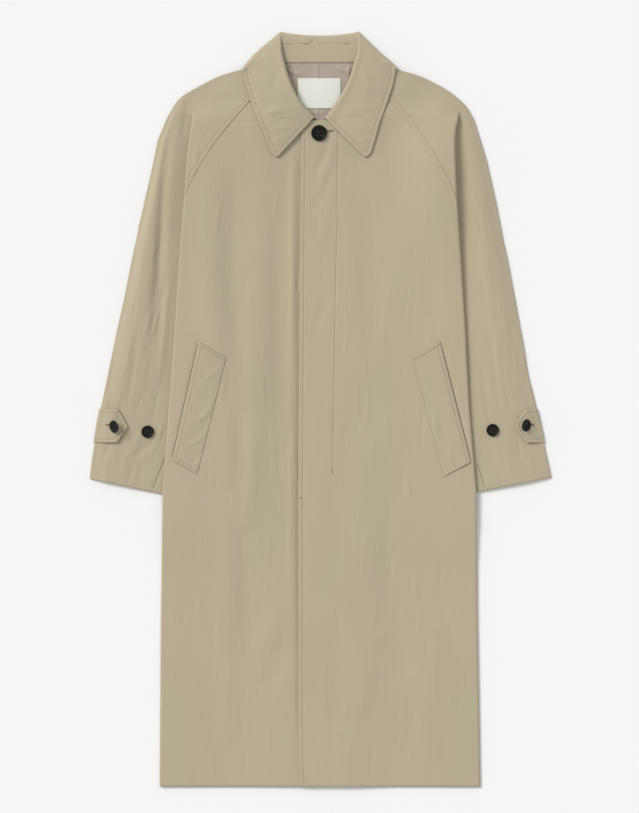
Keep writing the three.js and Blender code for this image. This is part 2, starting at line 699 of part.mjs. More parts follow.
// Points of one section through the collar, with the neck at key -1, the seam between stand and leaf
// at 0, the roll about 1, the leaf's edge at 3, and its fold round the shoulder at 3 to 4
function collarSection(entry, side) {
  const neckLevel = topFace(side.sign * entry.neck[0], Math.min(entry.neck[1], STAND_TOP_Y)) - CLOTH / 2;
  const neck = vector(entry.neck, entry.neckZ ?? Math.max(neckLevel, LOWEST_NECK), side);
  const roll = vector(entry.roll, entry.rollZ, side);
  const goal = entry.fold ?? entry.edge;
  const outward = vector(goal, 0, side).sub(vector(entry.roll, 0, side)).normalize();
  const inward = vector(entry.neck, 0, side).sub(vector(entry.roll, 0, side)).normalize();
  const seam = neck.clone().lerp(roll, STAND_PART);
  const section = [{ key: -1, place: neck }, { key: 0, place: seam }];
  const put = (key, base, direction, distance, z) => {
    section.push({ key, place: base.clone().addScaledVector(direction, distance).setZ(z) });
  };
  const standReach = neck.distanceTo(roll);
  for (const { key, inwards, below, share } of UNDER_ROLL) {
    const distance = Math.min(inwards, ROLL_REACH_SHARE * standReach);
    put(key, roll, inward, distance, Math.max(roll.z - below, mix(seam.z, roll.z, share)));
  }
  put(OVER_ROLL.key, roll, outward, OVER_ROLL.outwards, roll.z - OVER_ROLL.below);
  const reach = vector(goal, 0, side).distanceTo(vector(entry.roll, 0, side));
  const onCoat = topFace(side.sign * goal[0], goal[1]) + LEAF_CLEARANCE + CLOTH / 2;
  const leafEnd = entry.fold ? FOLD_TOP : onCoat;
  const leafReach = entry.fold ? reach - (FOLD_TOP - UNDER_LEVEL) / 2 : reach;
  for (const [key, part] of LEAF_POINTS) {
    const distance = Math.max(SHORTEST_LEAF_STEP, leafReach * part);
    const crown = LEAF_CROWN * Math.sin(Math.PI * part);
    put(key, roll, outward, distance, mix(roll.z, leafEnd, part ** LEAF_CURVE) + crown);
  }
  put(3, roll, outward, leafReach, leafEnd);
  if (entry.fold) {
    put(3.5, roll, outward, reach, (leafEnd + UNDER_LEVEL) / 2);
  }
  if (entry.fold && entry.edge) {
    put(4, roll, outward, leafReach, UNDER_LEVEL);
    section.push({ key: 5, place: vector(entry.edge, UNDER_LEVEL, side) });
  }
  return section;
}

// The same keys across the back of the neck, where the leaf folds flat over the stand
function collarBackSection({ x, y }) {
  const at = (key, placeY, z) => ({ key, place: new THREE.Vector3(x, placeY, z) });
  return [
    at(-1, 558, 4),
    at(0, 577, 4.6),
    at(0.6, y - 12, 5),
    at(1, y - 9, 5),
    at(1.3, y - 7, 5),
    at(2.2, y - 4, 4.8),
    at(3, y - 1.9, 4.7),
    at(3.5, y, 2.85),
    at(4, y - 1.9, UNDER_LEVEL),
    at(5, STAND_TOP_Y, UNDER_LEVEL),
  ];
}

function collarSections() {
  const leftHalf = [...COLLAR_LEFT, ...CORNER_LEFT].map((entry) => collarSection(entry, LEFT));
  const rightHalf = [...COLLAR_RIGHT, ...CORNER_RIGHT].map((entry) => collarSection(entry, RIGHT));
  return [...leftHalf, ...COLLAR_BACK.map(collarBackSection), ...rightHalf.reverse()];
}

function placeAt(section, key) {
  for (let index = 1; index < section.length; index += 1) {
    const [before, after] = [section[index - 1], section[index]];
    if (key <= after.key) {
      return before.place.clone().lerp(after.place, clamp01((key - before.key) / (after.key - before.key)));
    }
  }
  return section[section.length - 1].place.clone();
}

// Cuts the sections to a range of keys and gives each point the normal of the surface there.
const CLOSEST_KEYS = 0.01;
const NORMAL_KEYS = 0.15;

function collarRows(fromKey, toKey) {
  const sections = collarSections();
  return sections.map((section, row) => {
    const previous = sections[Math.max(0, row - 1)];
    const next = sections[Math.min(sections.length - 1, row + 1)];
    const standHeight = section[0].place.distanceTo(section[1].place);
    const seamKey = toKey === 0 ? -STAND_GAP / standHeight : toKey;
    const lastKey = Math.min(seamKey, section[section.length - 1].key);
    const inside = section.filter(({ key }) => key > fromKey + CLOSEST_KEYS && key < lastKey - CLOSEST_KEYS);
    const keys = [fromKey, ...inside.map(({ key }) => key), lastKey];
    return keys.map((key) => {
      const along = placeAt(section, key + NORMAL_KEYS).sub(placeAt(section, key - NORMAL_KEYS));
      const across = placeAt(next, key).sub(placeAt(previous, key));
      const normal = along.cross(across).normalize();
      return { key, place: placeAt(section, key), normal };
    });
  });
}

// Pocket welts: corners in u and y, the outer long edge first
const WELT_LEFT = { outer: [[194.7, 108.3], [237, -80]], inner: [[150.7, 83.5], [197.4, -104.8]] };
const WELT_RIGHT = { outer: [[190.6, 109.3], [240.2, -84.5]], inner: [[145.6, 82.6], [196, -108.5]] };
const WELT_STEPS = 6;
const WELT_STEPS_ACROSS = 3;

function welt(corners, side) {
  const rows = [];
  for (let along = 0; along <= WELT_STEPS; along += 1) {
    const row = [];
    const ends = [corners.inner, corners.outer].map(([from, to]) => {
      return new THREE.Vector2(...from).lerp(new THREE.Vector2(...to), along / WELT_STEPS);
    });
    for (let across = 0; across <= WELT_STEPS_ACROSS; across += 1) {
      const spot = ends[0].clone().lerp(ends[1], across / WELT_STEPS_ACROSS);
      const x = side.sign * spot.x;
      const z = topFace(x, spot.y) + SEAM_GAP + TRIM / 2;
      row.push({ key: across, place: new THREE.Vector3(x, spot.y, z), normal: new THREE.Vector3(0, 0, 1) });
    }
    rows.push(row);
  }
  return closedSheet(rows, TRIM);
}

// Cuff tabs: y, u of the pointed inner end on the left, the same on the right
const TAB_ROWS = [
  [0, 324.3, 326],
  [-14, 316, 318],
  [-27.6, 308.5, 311],
  [-40, 316.5, 320],
  [-52, 325, 330],
];
// Across a tab, from its inner end: share of the way to the sleeve's edge and height. It bows up where
// its button is and comes down towards the edge.
const TAB_FOOT = SLEEVE_LAYER + LOFT + CLOTH + LAYER_GAP;
const TAB_PROFILE = [
  [0, TAB_FOOT],
  [0.22, 11.13],
  [0.45, 10.5],
  [0.75, 8.6],
];
// Round the sleeve's edge: how far beyond the edge and height
const TAB_TURN = [
  [-2, 6.8],
  [2.4, 4],
  [2.8, 1.2],
];

function tabPath(y, innerU, side) {
  const outer = lookUp(OUTLINE, y, side.column);
  const across = TAB_PROFILE.map(([share, z]) => [mix(innerU, outer, share), z]);
  const round = TAB_TURN.map(([beyond, z]) => [outer + beyond, z]);
  return [...across, ...round].map(([u, z], key) => ({ key, u, z }));
}

function cuffTab(side) {
  const rows = TAB_ROWS.map((row) => {
    const path = tabPath(row[0], row[side.column], side);
    return placeRow(path, side, row[0], row[0], 0);
  });
  return closedSheet(rows, TRIM);
}

// Four-hole buttons with a rim, in shares of the button's diameter
const HOLES = 4;
const BUTTON_THICKNESS = 0.16;
const HOLE_RADIUS = 0.075;
const HOLE_CIRCLE = 0.19;
const BUTTON_SIDES = 20;
const HOLE_SIDES = 8;

function toManifold(geometry) {
  const bare = geometry.clone();
  bare.deleteAttribute('normal');
  bare.deleteAttribute('uv');
  const merged = mergeVertices(bare, 1e-4);
  const vertProperties = new Float32Array(merged.attributes.position.array);
  const triVerts = new Uint32Array(merged.index.array);
  return new wasm.Manifold(new wasm.Mesh({ numProp: 3, vertProperties, triVerts }));
}

function fromManifold(solid) {
  const mesh = solid.getMesh();
  const geometry = new THREE.BufferGeometry();
  geometry.setAttribute('position', new THREE.Float32BufferAttribute(mesh.vertProperties, 3));
  geometry.setIndex([...mesh.triVerts]);
  return geometry;
}

function buttonShape(diameter) {
  const radius = diameter / 2;
  const thickness = BUTTON_THICKNESS * diameter;
  const outline = [
    [0, 0],
    [0.8 * radius, 0],
    [radius, 0.4 * thickness],
    [radius, 0.7 * thickness],
    [0.88 * radius, thickness],
    [0.7 * radius, 0.72 * thickness],
    [0, 0.66 * thickness],
  ].map(([r, z]) => new THREE.Vector2(r, z));
  const turned = new THREE.LatheGeometry(outline, BUTTON_SIDES).rotateX(Math.PI / 2);
  let body = toManifold(turned);
  if (body.volume() < 0) throw new Error('button faces in');
  for (let hole = 0; hole < HOLES; hole += 1) {
    const angle = Math.PI / 4 + hole * Math.PI / 2;
    const [holeRadius, holeCircle] = [HOLE_RADIUS * diameter, HOLE_CIRCLE * diameter];
    const drill = new THREE.CylinderGeometry(holeRadius, holeRadius, 4 * thickness, HOLE_SIDES);
    drill.rotateX(Math.PI / 2);
    drill.translate(holeCircle * Math.cos(angle), holeCircle * Math.sin(angle), 0);
    body = body.subtract(toManifold(drill));
  }
  return fromManifold(body);
}

// Seats a button on a surface: x, y and height of its middle, and its tilt about x and about y
function seated(mesh, x, y, height, tiltX, tiltY) {
  mesh.position.set(x, y, height);
  mesh.rotation.set(tiltX, tiltY, 0);
  return mesh;
}

const coat = new THREE.Group();

function addPiece(name, geometry, colour, roughness = 0.85) {
  const material = new THREE.MeshStandardMaterial({ color: colour, roughness, metalness: 0 });
  const mesh = new THREE.Mesh(geometry, material);
  mesh.name = name;
  coat.add(mesh);
  return mesh;
}

addPiece('back', backPanel(), COLOURS.cloth);
addPiece('front_left', frontPanel(RIGHT), COLOURS.cloth);
addPiece('front_right', frontPanel(LEFT), COLOURS.cloth);
addPiece('lining', liningPanel(), COLOURS.lining, 0.5);
addPiece('label', labelPatch(), COLOURS.label, 0.7);
addPiece('collar_stand', closedSheet(collarRows(-1, 0), CLOTH), COLOURS.cloth);
addPiece('collar_leaf', closedSheet(collarRows(0, 5), CLOTH), COLOURS.cloth);
// The wearer's left is the viewer's right, because the coat lies on its back.
for (const [side, wearer] of [[LEFT, 'right'], [RIGHT, 'left']]) {
  addPiece(`sleeve_front_${wearer}`, sleeveFront(side), COLOURS.cloth);
  addPiece(`sleeve_back_${wearer}`, sleeveBack(side), COLOURS.cloth);
  addPiece(`welt_${wearer}`, welt(side === LEFT ? WELT_LEFT : WELT_RIGHT, side), COLOURS.cloth);
  addPiece(`cuff_tab_${wearer}`, cuffTab(side), COLOURS.cloth);
}

// The neck button follows the slope of the cloth under it.
const NECK_BUTTON_AT = { x: -2.2, y: 441.9 };
const NECK_BUTTON_GAP = 0.4;
const SLOPE_REACH = 8;
const [slopeTop, slopeFoot] = [SLOPE_REACH, -SLOPE_REACH].map((step) => {
  return topFace(NECK_BUTTON_AT.x, NECK_BUTTON_AT.y + step);
});
seated(
  addPiece('button_neck', buttonShape(NECK_BUTTON), COLOURS.button, 0.35),
  NECK_BUTTON_AT.x,
  NECK_BUTTON_AT.y,
  topFace(NECK_BUTTON_AT.x, NECK_BUTTON_AT.y) + NECK_BUTTON_GAP,
  Math.atan((slopeTop - slopeFoot) / (2 * SLOPE_REACH)),
  0,
);

// Buttons at the cuffs, with u, y and the height of what carries them: the tab's button tilts outwards
// on its thread, the other lies on the sleeve.
const CUFF_BUTTONS = [
  { wearer: 'right', side: LEFT, tab: [329.1, -27.4, 14.9], sleeve: [276.6, -35.7, 5.54] },
  { wearer: 'left', side: RIGHT, tab: [327.8, -25.4, 14.9], sleeve: [275.5, -33.1, 5.67] },
];
const TAB_BUTTON_TILT = 0.6;
for (const { wearer, side, tab, sleeve } of CUFF_BUTTONS) {
  const onTab = addPiece(`button_tab_${wearer}`, buttonShape(CUFF_BUTTON), COLOURS.button, 0.35);
  seated(onTab, side.sign * tab[0], tab[1], tab[2] + BUTTON_GAP, 0, side.sign * TAB_BUTTON_TILT);
  const onSleeve = addPiece(`button_cuff_${wearer}`, buttonShape(CUFF_BUTTON), COLOURS.button, 0.35);
  seated(onSleeve, side.sign * sleeve[0], sleeve[1], sleeve[2] + BUTTON_GAP, 0, 0);
}

export default coat;
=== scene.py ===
# A balmacaan coat of pale cotton, buttoned and laid flat on its back, dressed around its solids.
# Metres, +Z up from the surface it lies on. +Y is the collar end and +X is the viewer's right.
# The wearer's left is the viewer's right. How far a point lies from the coat's middle is called u.
import math

import bpy
import numpy as np
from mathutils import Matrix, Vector
from mathutils.bvhtree import BVHTree
from mathutils.geometry import delaunay_2d_cdt


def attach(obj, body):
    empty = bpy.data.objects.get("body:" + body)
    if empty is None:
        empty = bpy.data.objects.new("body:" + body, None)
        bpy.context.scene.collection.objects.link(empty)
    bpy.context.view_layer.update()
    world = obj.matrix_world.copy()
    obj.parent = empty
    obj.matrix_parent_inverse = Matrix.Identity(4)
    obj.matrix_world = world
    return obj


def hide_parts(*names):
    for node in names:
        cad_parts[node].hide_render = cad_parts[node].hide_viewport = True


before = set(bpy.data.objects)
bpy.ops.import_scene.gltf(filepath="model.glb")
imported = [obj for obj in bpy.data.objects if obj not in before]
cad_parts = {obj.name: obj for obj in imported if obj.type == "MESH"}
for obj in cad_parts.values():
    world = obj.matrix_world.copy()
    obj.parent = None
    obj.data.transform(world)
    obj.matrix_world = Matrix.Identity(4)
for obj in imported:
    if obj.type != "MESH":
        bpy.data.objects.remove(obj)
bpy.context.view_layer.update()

# Back panel. One piece of fine cotton and nylon cloth from the neck to the hem, cut with slanted
# raglan edges and flared side seams. It lies on the surface, under everything else.
CLOTH = 0.0016
FLOOR_LAYER = 0.001
HEM_Y = -0.604
BACK_TOP_Y = 0.555
BACK_ROWS = 190
BACK_COLUMNS = 62
SEAM_GAP = 0.0003
COLLAR_LIFT = 0.0026
LIFT_CENTRE_Y = 0.575
LIFT_INNER_RADIUS = 0.138
LIFT_OUTER_RADIUS = 0.190
# Side and raglan seams of the back: height along the coat, half width on the left, on the right
BACK_HALF = [
    (0.555, 0.060, 0.060),
    (0.420, 0.086, 0.086),
    (0.272, 0.114, 0.114),
    (0.250, 0.116, 0.116),
    (-0.147, 0.179, 0.178),
    (-0.604, 0.190, 0.188),
]
# Creases pressed into the back by its own weight: way along it, half width, height
BACK_CREASES = [
    ([(-0.050, 0.300), (-0.062, 0.120), (-0.048, -0.080)], 0.012, 0.0005),
    ([(0.072, 0.200), (0.060, 0.020), (0.078, -0.190)], 0.016, 0.0006),
    ([(-0.110, -0.120), (-0.096, -0.290), (-0.118, -0.450)], 0.014, 0.0005),
    ([(0.020, -0.240), (0.034, -0.380), (0.012, -0.540)], 0.010, 0.0004),
]


def lerp(start, end, part):
    return start + (end - start) * part


def ease(part):
    part = np.clip(part, 0, 1)
    return part * part * (3 - 2 * part)


class Edge:
    """How far a seam or an edge lies from the coat's middle at any height along the coat."""

    STEP = 0.001
    HEIGHTS = np.arange(-0.64, 0.64, STEP)

    def __init__(self, rows, column, soften=0.008):
        heights, *sides = np.array(rows[::-1]).T
        places = np.interp(self.HEIGHTS, heights, sides[column])
        count = int(soften / self.STEP)
        weights = np.hanning(2 * count + 3)[1:-1]
        padded = np.pad(places, count, "edge")
        self.places = np.convolve(padded, weights / weights.sum(), "valid")

    def __call__(self, y):
        return np.interp(y, self.HEIGHTS, self.places)


class Side:
    """One side of the coat. sign is -1 on the viewer's left, which is the wearer's right."""

    def __init__(self, wearer, sign):
        self.wearer = wearer
        self.sign = sign
        self.column = (sign + 1) // 2


LEFT = Side("right", -1)
RIGHT = Side("left", 1)
SIDES = (LEFT, RIGHT)


def both_sides(rows, soften=0.008):
    return {side: Edge(rows, side.column, soften) for side in SIDES}


def neck_lift(x, y, height):
    """The back of the collar leaf lies under the neck and lifts every layer there."""
    radius = np.hypot(x, y - LIFT_CENTRE_Y)
    return height * ease((LIFT_OUTER_RADIUS - radius) / (LIFT_OUTER_RADIUS - LIFT_INNER_RADIUS))


def soften_way(way, rounds=2):
    """Cuts the corners of a way, so that a crease or seam bends smoothly."""
    way = np.array(way, float)
    for _ in range(rounds):
        starts, ends = way[:-1], way[1:]
        cut = np.stack([lerp(starts, ends, 0.25), lerp(starts, ends, 0.75)], axis=1).reshape(-1, 2)
        way = np.concatenate([way[:1], cut, way[-1:]])
    return way


def near(x, y, way):
    """Distance of places from a way, how far along it they are, and the way's length."""
    way = np.asarray(way, float)
    steps = np.diff(way, axis=0)
    lengths = np.hypot(steps[:, 0], steps[:, 1])
    distance = np.full(np.shape(x), 1e3)
    along = np.zeros(np.shape(x))
    done = 0.0
    for start, step, length in zip(way[:-1], steps, lengths):
        unit = step / length
        reach = np.clip((x - start[0]) * unit[0] + (y - start[1]) * unit[1], 0, length)
        away = np.hypot(x - start[0] - reach * unit[0], y - start[1] - reach * unit[1])
        along = np.where(away < distance, done + reach, along)
        distance = np.minimum(away, distance)
        done += length
    return distance, along, done


def creased(x, y, creases):
    """Height of soft ridges, and of troughs where the height is negative, at each place."""
    total = np.zeros(np.shape(x))
    for way, width, height in creases:
        distance, along, length = near(x, y, soften_way(way))
        fade = np.sin(np.pi * np.clip(along / length, 0.01, 0.99)) ** 0.7
        total += height * fade * np.exp(-((distance / width) ** 2))
    return total


def cloth_normals(middle):
    """Unit normals of a grid of points, facing whichever way the grid's order turns them."""
    normal = np.cross(np.gradient(middle, axis=0), np.gradient(middle, axis=1))
    normal /= np.linalg.norm(normal, axis=2, keepdims=True) + 1e-12
    return normal


def link_mesh(name, points, faces, attribute=None):
    mesh = bpy.data.meshes.new(name)
    mesh.from_pydata(points.tolist(), [], faces.tolist() if hasattr(faces, "tolist") else faces)
    mesh.shade_smooth()
    if attribute is not None:
        cut = mesh.attributes.new("cut", "FLOAT_VECTOR", "POINT")
        cut.data.foreach_set("vector", attribute.astype(np.float32).ravel())
    mesh.update()
    piece = bpy.data.objects.new(name, mesh)
    bpy.context.scene.collection.objects.link(piece)
    return piece


def cut_place(middle, from_end=False):
    """Where each point lay on the flat cut: across from one edge, and along from the top."""
    across = np.linalg.norm(np.diff(middle, axis=1), axis=2)
    across = np.concatenate([np.zeros((len(middle), 1)), np.cumsum(across, axis=1)], axis=1)
    if from_end:
        across = across[:, -1:] - across
    centre = middle[:, -1 if from_end else 0]
    along = np.concatenate([[0], np.cumsum(np.linalg.norm(np.diff(centre, axis=0), axis=1))])
    along = np.broadcast_to(along[:, None], across.shape)
    return np.stack([across, along, np.zeros(across.shape)], axis=2)


def cloth_sheet(name, middle, thickness=CLOTH, relief=None, face_up=None, from_end=False):
    """A closed sheet of cloth round a grid of middle points, its cut edges rounded."""
    rows, columns = middle.shape[:2]
    normal = cloth_normals(middle)
    spot = face_up or (rows // 2, columns // 4)
    turned = normal[spot][2] < 0
    if turned:
        normal = -normal
    if relief is not None:
        middle = middle + normal * relief[..., None]
        shaped = cloth_normals(middle)
        normal = -shaped if turned else shaped
    half = np.broadcast_to(np.asarray(thickness) / 2, (rows, columns))[..., None]
    index = np.arange(rows * columns).reshape(rows, columns)
    loop = np.concatenate([index[0, :-1], index[:-1, -1], index[-1, :0:-1], index[:0:-1, 0]])
    inside = np.concatenate([index[1, :-1], index[:-1, -2], index[-2, :0:-1], index[:0:-1, 1]])
    flat = middle.reshape(-1, 3)
    outward = flat[loop] - flat[inside]
    outward /= np.linalg.norm(outward, axis=1, keepdims=True) + 1e-12
    rim = flat[loop] + outward * half.reshape(-1, 1)[loop] * 0.6
    upper = (middle + normal * half).reshape(-1, 3)
    lower = (middle - normal * half).reshape(-1, 3)
    points = np.concatenate([upper, lower, rim])
    count = rows * columns
    here, right = index[:-1, :-1].ravel(), index[:-1, 1:].ravel()
    below, across = index[1:, :-1].ravel(), index[1:, 1:].ravel()
    top = np.stack([here, right, across, below], axis=1)
    bottom = np.stack([here, below, across, right], axis=1) + count
    after = np.roll(loop, -1)
    ring = 2 * count + np.arange(len(loop))
    ring_after = np.roll(ring, -1)
    wall_top = np.stack([after, loop, ring, ring_after], axis=1)
    wall_bottom = np.stack([ring_after, ring, loop + count, after + count], axis=1)
    faces = np.concatenate([top, bottom, wall_top, wall_bottom])
    if not turned:
        faces = faces[:, ::-1]
    place = cut_place(middle, from_end).reshape(-1, 3)
    attribute = np.concatenate([place, place, place[loop]])
    piece = link_mesh(name, points, faces, attribute)
    piece["cut"] = cut_size(middle)
    return piece


def cut_size(middle):
    """Width, length and area of the flat cloth that a grid of middle points was cut as."""
    across = np.linalg.norm(np.diff(middle, axis=1), axis=2)
    along = np.linalg.norm(np.diff(middle, axis=0), axis=2)
    width = across.sum(axis=1).max()
    length = along.sum(axis=0).max()
    sides = np.cross(middle[1:, :-1] - middle[:-1, :-1], middle[:-1, 1:] - middle[:-1, :-1])
    area = np.linalg.norm(sides, axis=2).sum()
    return [float(width), float(length), float(min(area, width * length))]


class Wire:
    """An output of a material's nodes. Sums and products of wires add Math nodes."""

    def __init__(self, tree, socket=None):
        self.tree = tree
        self.socket = socket

    def add(self, kind, settings=None, values=None, output=0):
        """Adds a node with its settings, then the values or wires of its input sockets."""
        node = self.tree.nodes.new(kind)
        for name, setting in (settings or {}).items():
            if name == "stops":
                for stop, (place, colour) in zip(node.color_ramp.elements, setting):
                    stop.position = place
                    stop.color = colour
            else:
                setattr(node, name, setting)
        for name, value in (values or {}).items():
            if isinstance(value, Wire):
                self.tree.links.new(value.socket, node.inputs[name])
            else:
                node.inputs[name].default_value = value
        return Wire(self.tree, node.outputs[output])

    def maths(self, operation, first, second=0.0):
        return self.add("ShaderNodeMath", {"operation": operation}, {0: first, 1: second})

    def mixed(self, factor, first, second):
        settings = {"data_type": "RGBA", "clamp_factor": True}
        return self.add("ShaderNodeMix", settings, {0: factor, 6: first, 7: second}, output=2)

    def stretched(self, scale):
        return self.add("ShaderNodeVectorMath", {"operation": "MULTIPLY"}, {0: self, 1: scale})

    def part(self, axis):
        return self.add("ShaderNodeSeparateXYZ", None, {0: self}, output=axis)

    def noise(self, scale, detail=2.0, roughness=0.5):
        values = {"Vector": self, "Scale": scale, "Detail": detail, "Roughness": roughness}
        return self.add("ShaderNodeTexNoise", None, values)

    def __add__(self, other):
        return self.maths("ADD", self, other)

    def __radd__(self, other):
        return self.maths("ADD", other, self)

    def __sub__(self, other):
        return self.maths("SUBTRACT", self, other)

    def __rsub__(self, other):
        return self.maths("SUBTRACT", other, self)

    def __mul__(self, other):
        return self.maths("MULTIPLY", self, other)

    def __rmul__(self, other):
        return self.maths("MULTIPLY", other, self)


def new_material(name):
    """An empty material, its first wire and its surface shader."""
    material = bpy.data.materials.new(name)
    material.use_nodes = True
    surface = material.node_tree.nodes["Principled BSDF"]
    return material, Wire(material.node_tree), surface


def connect(surface, name, wire):
    wire.tree.links.new(wire.socket, surface.inputs[name])


# Beige of the cloth, with the greener and pinker tones that its two yarns give it
CLOTH_BEIGE = (0.465, 0.400, 0.283, 1)
CLOTH_GREEN = (0.445, 0.402, 0.272, 1)
CLOTH_PINK = (0.495, 0.405, 0.290, 1)
CLOTH_DEEP = (0.385, 0.325, 0.220, 1)
YARN_PITCH = 0.00055


def cloth_material(name):
    """Plain weave with slubs that run along the cut, a soft mottle and fine crinkles."""
    material, start, surface = new_material(name)
    cut = start.add("ShaderNodeAttribute", {"attribute_name": "cut"}, output=1)
    mottle = cut.noise(7.0, detail=3.0)
    blush = cut.stretched((9.0, 2.2, 1.0)).noise(1.0, detail=2.0)
    slub = cut.stretched((1500.0, 26.0, 1.0)).noise(1.0, detail=2.0, roughness=0.6)
    streak = cut.stretched((210.0, 9.0, 1.0)).noise(1.0, detail=3.0, roughness=0.65)
    toned = start.mixed(blush * 2.2 - 0.6, CLOTH_GREEN, CLOTH_PINK)
    toned = start.mixed(0.15, toned, CLOTH_BEIGE)
    shade = (0.62 - slub) * 0.34 + (0.6 - streak) * 0.30 + (0.6 - mottle) * 0.4
    connect(surface, "Base Color", start.mixed(shade, toned, CLOTH_DEEP))
    turns = 2 * math.pi / YARN_PITCH
    warp, weft = [cut.stretched((turns, turns, 1.0)).part(axis) for axis in (0, 1)]
    weave = start.maths("SINE", warp) * start.maths("SINE", weft)
    grain = cut.stretched((300.0, 44.0, 1.0)).noise(1.0, detail=4.0, roughness=0.6)
    height = weave * 0.00004 + grain * 0.00055 + slub * 0.00008 + streak * 0.0004
    bump = start.add("ShaderNodeBump", None, {"Strength": 0.7, "Distance": 1.0, "Height": height})
    connect(surface, "Normal", bump)
    connect(surface, "Roughness", slub * 0.16 + 0.7)
    surface.inputs["Sheen Weight"].default_value = 0.12
    surface.inputs["Sheen Roughness"].default_value = 0.45
    surface.inputs["Specular IOR Level"].default_value = 0.28
    return material


cloth = cloth_material("coat_cloth")

back_half = both_sides(BACK_HALF)


def straight_rows(heights, columns, left, right, level):
    """A flat grid of points across the coat between two edges, at one level above the surface."""
    x = np.linspace(left, right, columns, axis=-1)
    y = np.broadcast_to(heights[:, None], x.shape)
    return np.stack([x, y, np.full(x.shape, level)], axis=2)


def back_panel():
    heights = np.linspace(BACK_TOP_Y, HEM_Y, BACK_ROWS)
    left, right = -back_half[LEFT](heights), back_half[RIGHT](heights)
    middle = straight_rows(heights, BACK_COLUMNS, left, right, FLOOR_LAYER)
    middle[..., 2] += neck_lift(middle[..., 0], middle[..., 1], COLLAR_LIFT)
    relief = creased(middle[..., 0], middle[..., 1], BACK_CREASES)
    return cloth_sheet("back_cloth", middle, relief=relief)


def sew_in(piece, node, material):
    """Gives a piece of cloth its material and its place on the coat, drops the size of its cut, and hides
    the part it replaces.
    """
    piece.data.materials.append(material)
    del piece["cut"]
    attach(piece, "root")
    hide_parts(node)
    return piece


sew_in(back_panel(), "back", cloth)

# Sleeves. Each raglan sleeve is cut in a front and a back half, sewn together along the arm's outer
# edge and under the arm. Laid flat it is a hollow double layer, slightly puffed, and its front half
# carries on over the shoulder as the raglan yoke. It goes on under the body, behind the side fold.
LAYER = 0.0024
ROLL = LAYER / 2
SIDE_ROUND = 0.0022
SLEEVE_LAYER = FLOOR_LAYER + LAYER
FLAP_LAYER = FLOOR_LAYER + 2 * LAYER
TOP_LAYER = FLOOR_LAYER + 3 * LAYER
SHOULDER_RISE = 0.0012
UNDER_FRONT_LEVEL = 0.0046
UPPER_FRONT_LEVEL = UNDER_FRONT_LEVEL + LAYER
FRONT_LIFT = COLLAR_LIFT + 0.0004
UNDERARM_Y = 0.271
UNDERARM_U = 0.1336
RAGLAN_TOP_Y = 0.524
FOLD_BEGINS_Y = 0.482
FOLD_START_Y = 0.470
FOLD_START_DEPTH = 0.003
FOLD_SPREAD = 0.004
FOLD_FORMS = 0.022
FOLD_SWINGS = 0.036
SHOULDER_SLOPE = 0.034
SHOULDER_RAMP = 0.036
FOLD_STEPS = 13
ROW_STEPS = 70
# Outer edge of shoulder and sleeve: height along the coat, u on the left, u on the right
OUTLINE = [
    (0.5560, 0.0930, 0.0930),
    (0.5510, 0.1010, 0.1000),
    (0.5464, 0.1150, 0.1120),
    (0.5336, 0.1624, 0.1592),
    (0.5240, 0.1816, 0.1800),
    (0.5144, 0.1992, 0.1976),
    (0.5048, 0.2168, 0.2120),
    (0.4952, 0.2280, 0.2232),
    (0.4856, 0.2344, 0.2328),
    (0.4664, 0.2456, 0.2440),
    (0.4312, 0.2600, 0.2552),
    (0.3992, 0.2664, 0.2648),
    (0.3352, 0.2808, 0.2792),
    (0.2712, 0.2952, 0.2920),
    (0.1752, 0.3144, 0.3112),
    (0.1112, 0.3288, 0.3224),
    (0.0472, 0.3416, 0.3336),
    (-0.0168, 0.3552, 0.3488),
    (-0.0808, 0.3656, 0.3624),
    (-0.1100, 0.3690, 0.3690),
]
# Side fold of the body
CREASE = [
    (0.4824, 0.2032, 0.2246),
    (0.4472, 0.2072, 0.2152),
    (0.4152, 0.2120, 0.2144),
    (0.3512, 0.2168, 0.2168),
    (0.2552, 0.2248, 0.2232),
    (0.1272, 0.2328, 0.2312),
    (-0.0008, 0.2424, 0.2376),
    (-0.1288, 0.2520, 0.2488),
    (-0.3368, 0.2552, 0.2504),
    (-0.6040, 0.2571, 0.2552),
]
# Front raglan seam from the neck to the side fold
RAGLAN = [
    (0.5240, 0.0765, 0.0765),
    (0.4950, 0.1114, 0.1110),
    (0.4576, 0.1442, 0.1427),
    (0.4216, 0.1728, 0.1676),
    (0.3900, 0.1928, 0.1856),
    (0.3600, 0.2088, 0.2006),
    (0.3450, 0.2156, 0.2080),
    (0.3030, 0.2190, 0.2174),
]
# Neck seam, seen flat
NECK = [
    (0.5560, 0.0920, 0.0920),
    (0.5464, 0.0872, 0.0872),
    (0.5288, 0.0792, 0.0792),
    (0.5064, 0.0664, 0.0664),
    (0.4824, 0.0504, 0.0504),
    (0.4680, 0.0280, 0.0280),
    (0.4616, 0.0072, 0.0072),
]
# How much the cloth stands up beside the side fold, and how far the sleeve is puffed beyond it
SIDE_LOFT = [
    (0.510, 0.0000, 0.0000),
    (0.480, 0.0008, 0.0026),
    (0.450, 0.0018, 0.0084),
    (0.405, 0.0026, 0.0142),
    (0.340, 0.0026, 0.0128),
    (0.250, 0.0022, 0.0070),
    (0.150, 0.0020, 0.0036),
    (0.050, 0.0016, 0.0026),
    (-0.150, 0.0012, 0.0014),
    (-0.604, 0.0006, 0.0006),
]
SLEEVE_LOFT = [
    (0.510, 0.0000, 0.0000),
    (0.440, 0.0052, 0.0020),
    (0.350, 0.0090, 0.0036),
    (0.200, 0.0098, 0.0044),
    (0.060, 0.0064, 0.0036),
    (0.000, 0.0034, 0.0026),
    (-0.060, 0.0028, 0.0022),
    (-0.150, 0.0030, 0.0024),
]
LOFT_PEAK = {LEFT: 0.76, RIGHT: 0.66}
outline = both_sides(OUTLINE, soften=0.006)
crease = both_sides(CREASE, soften=0.02)
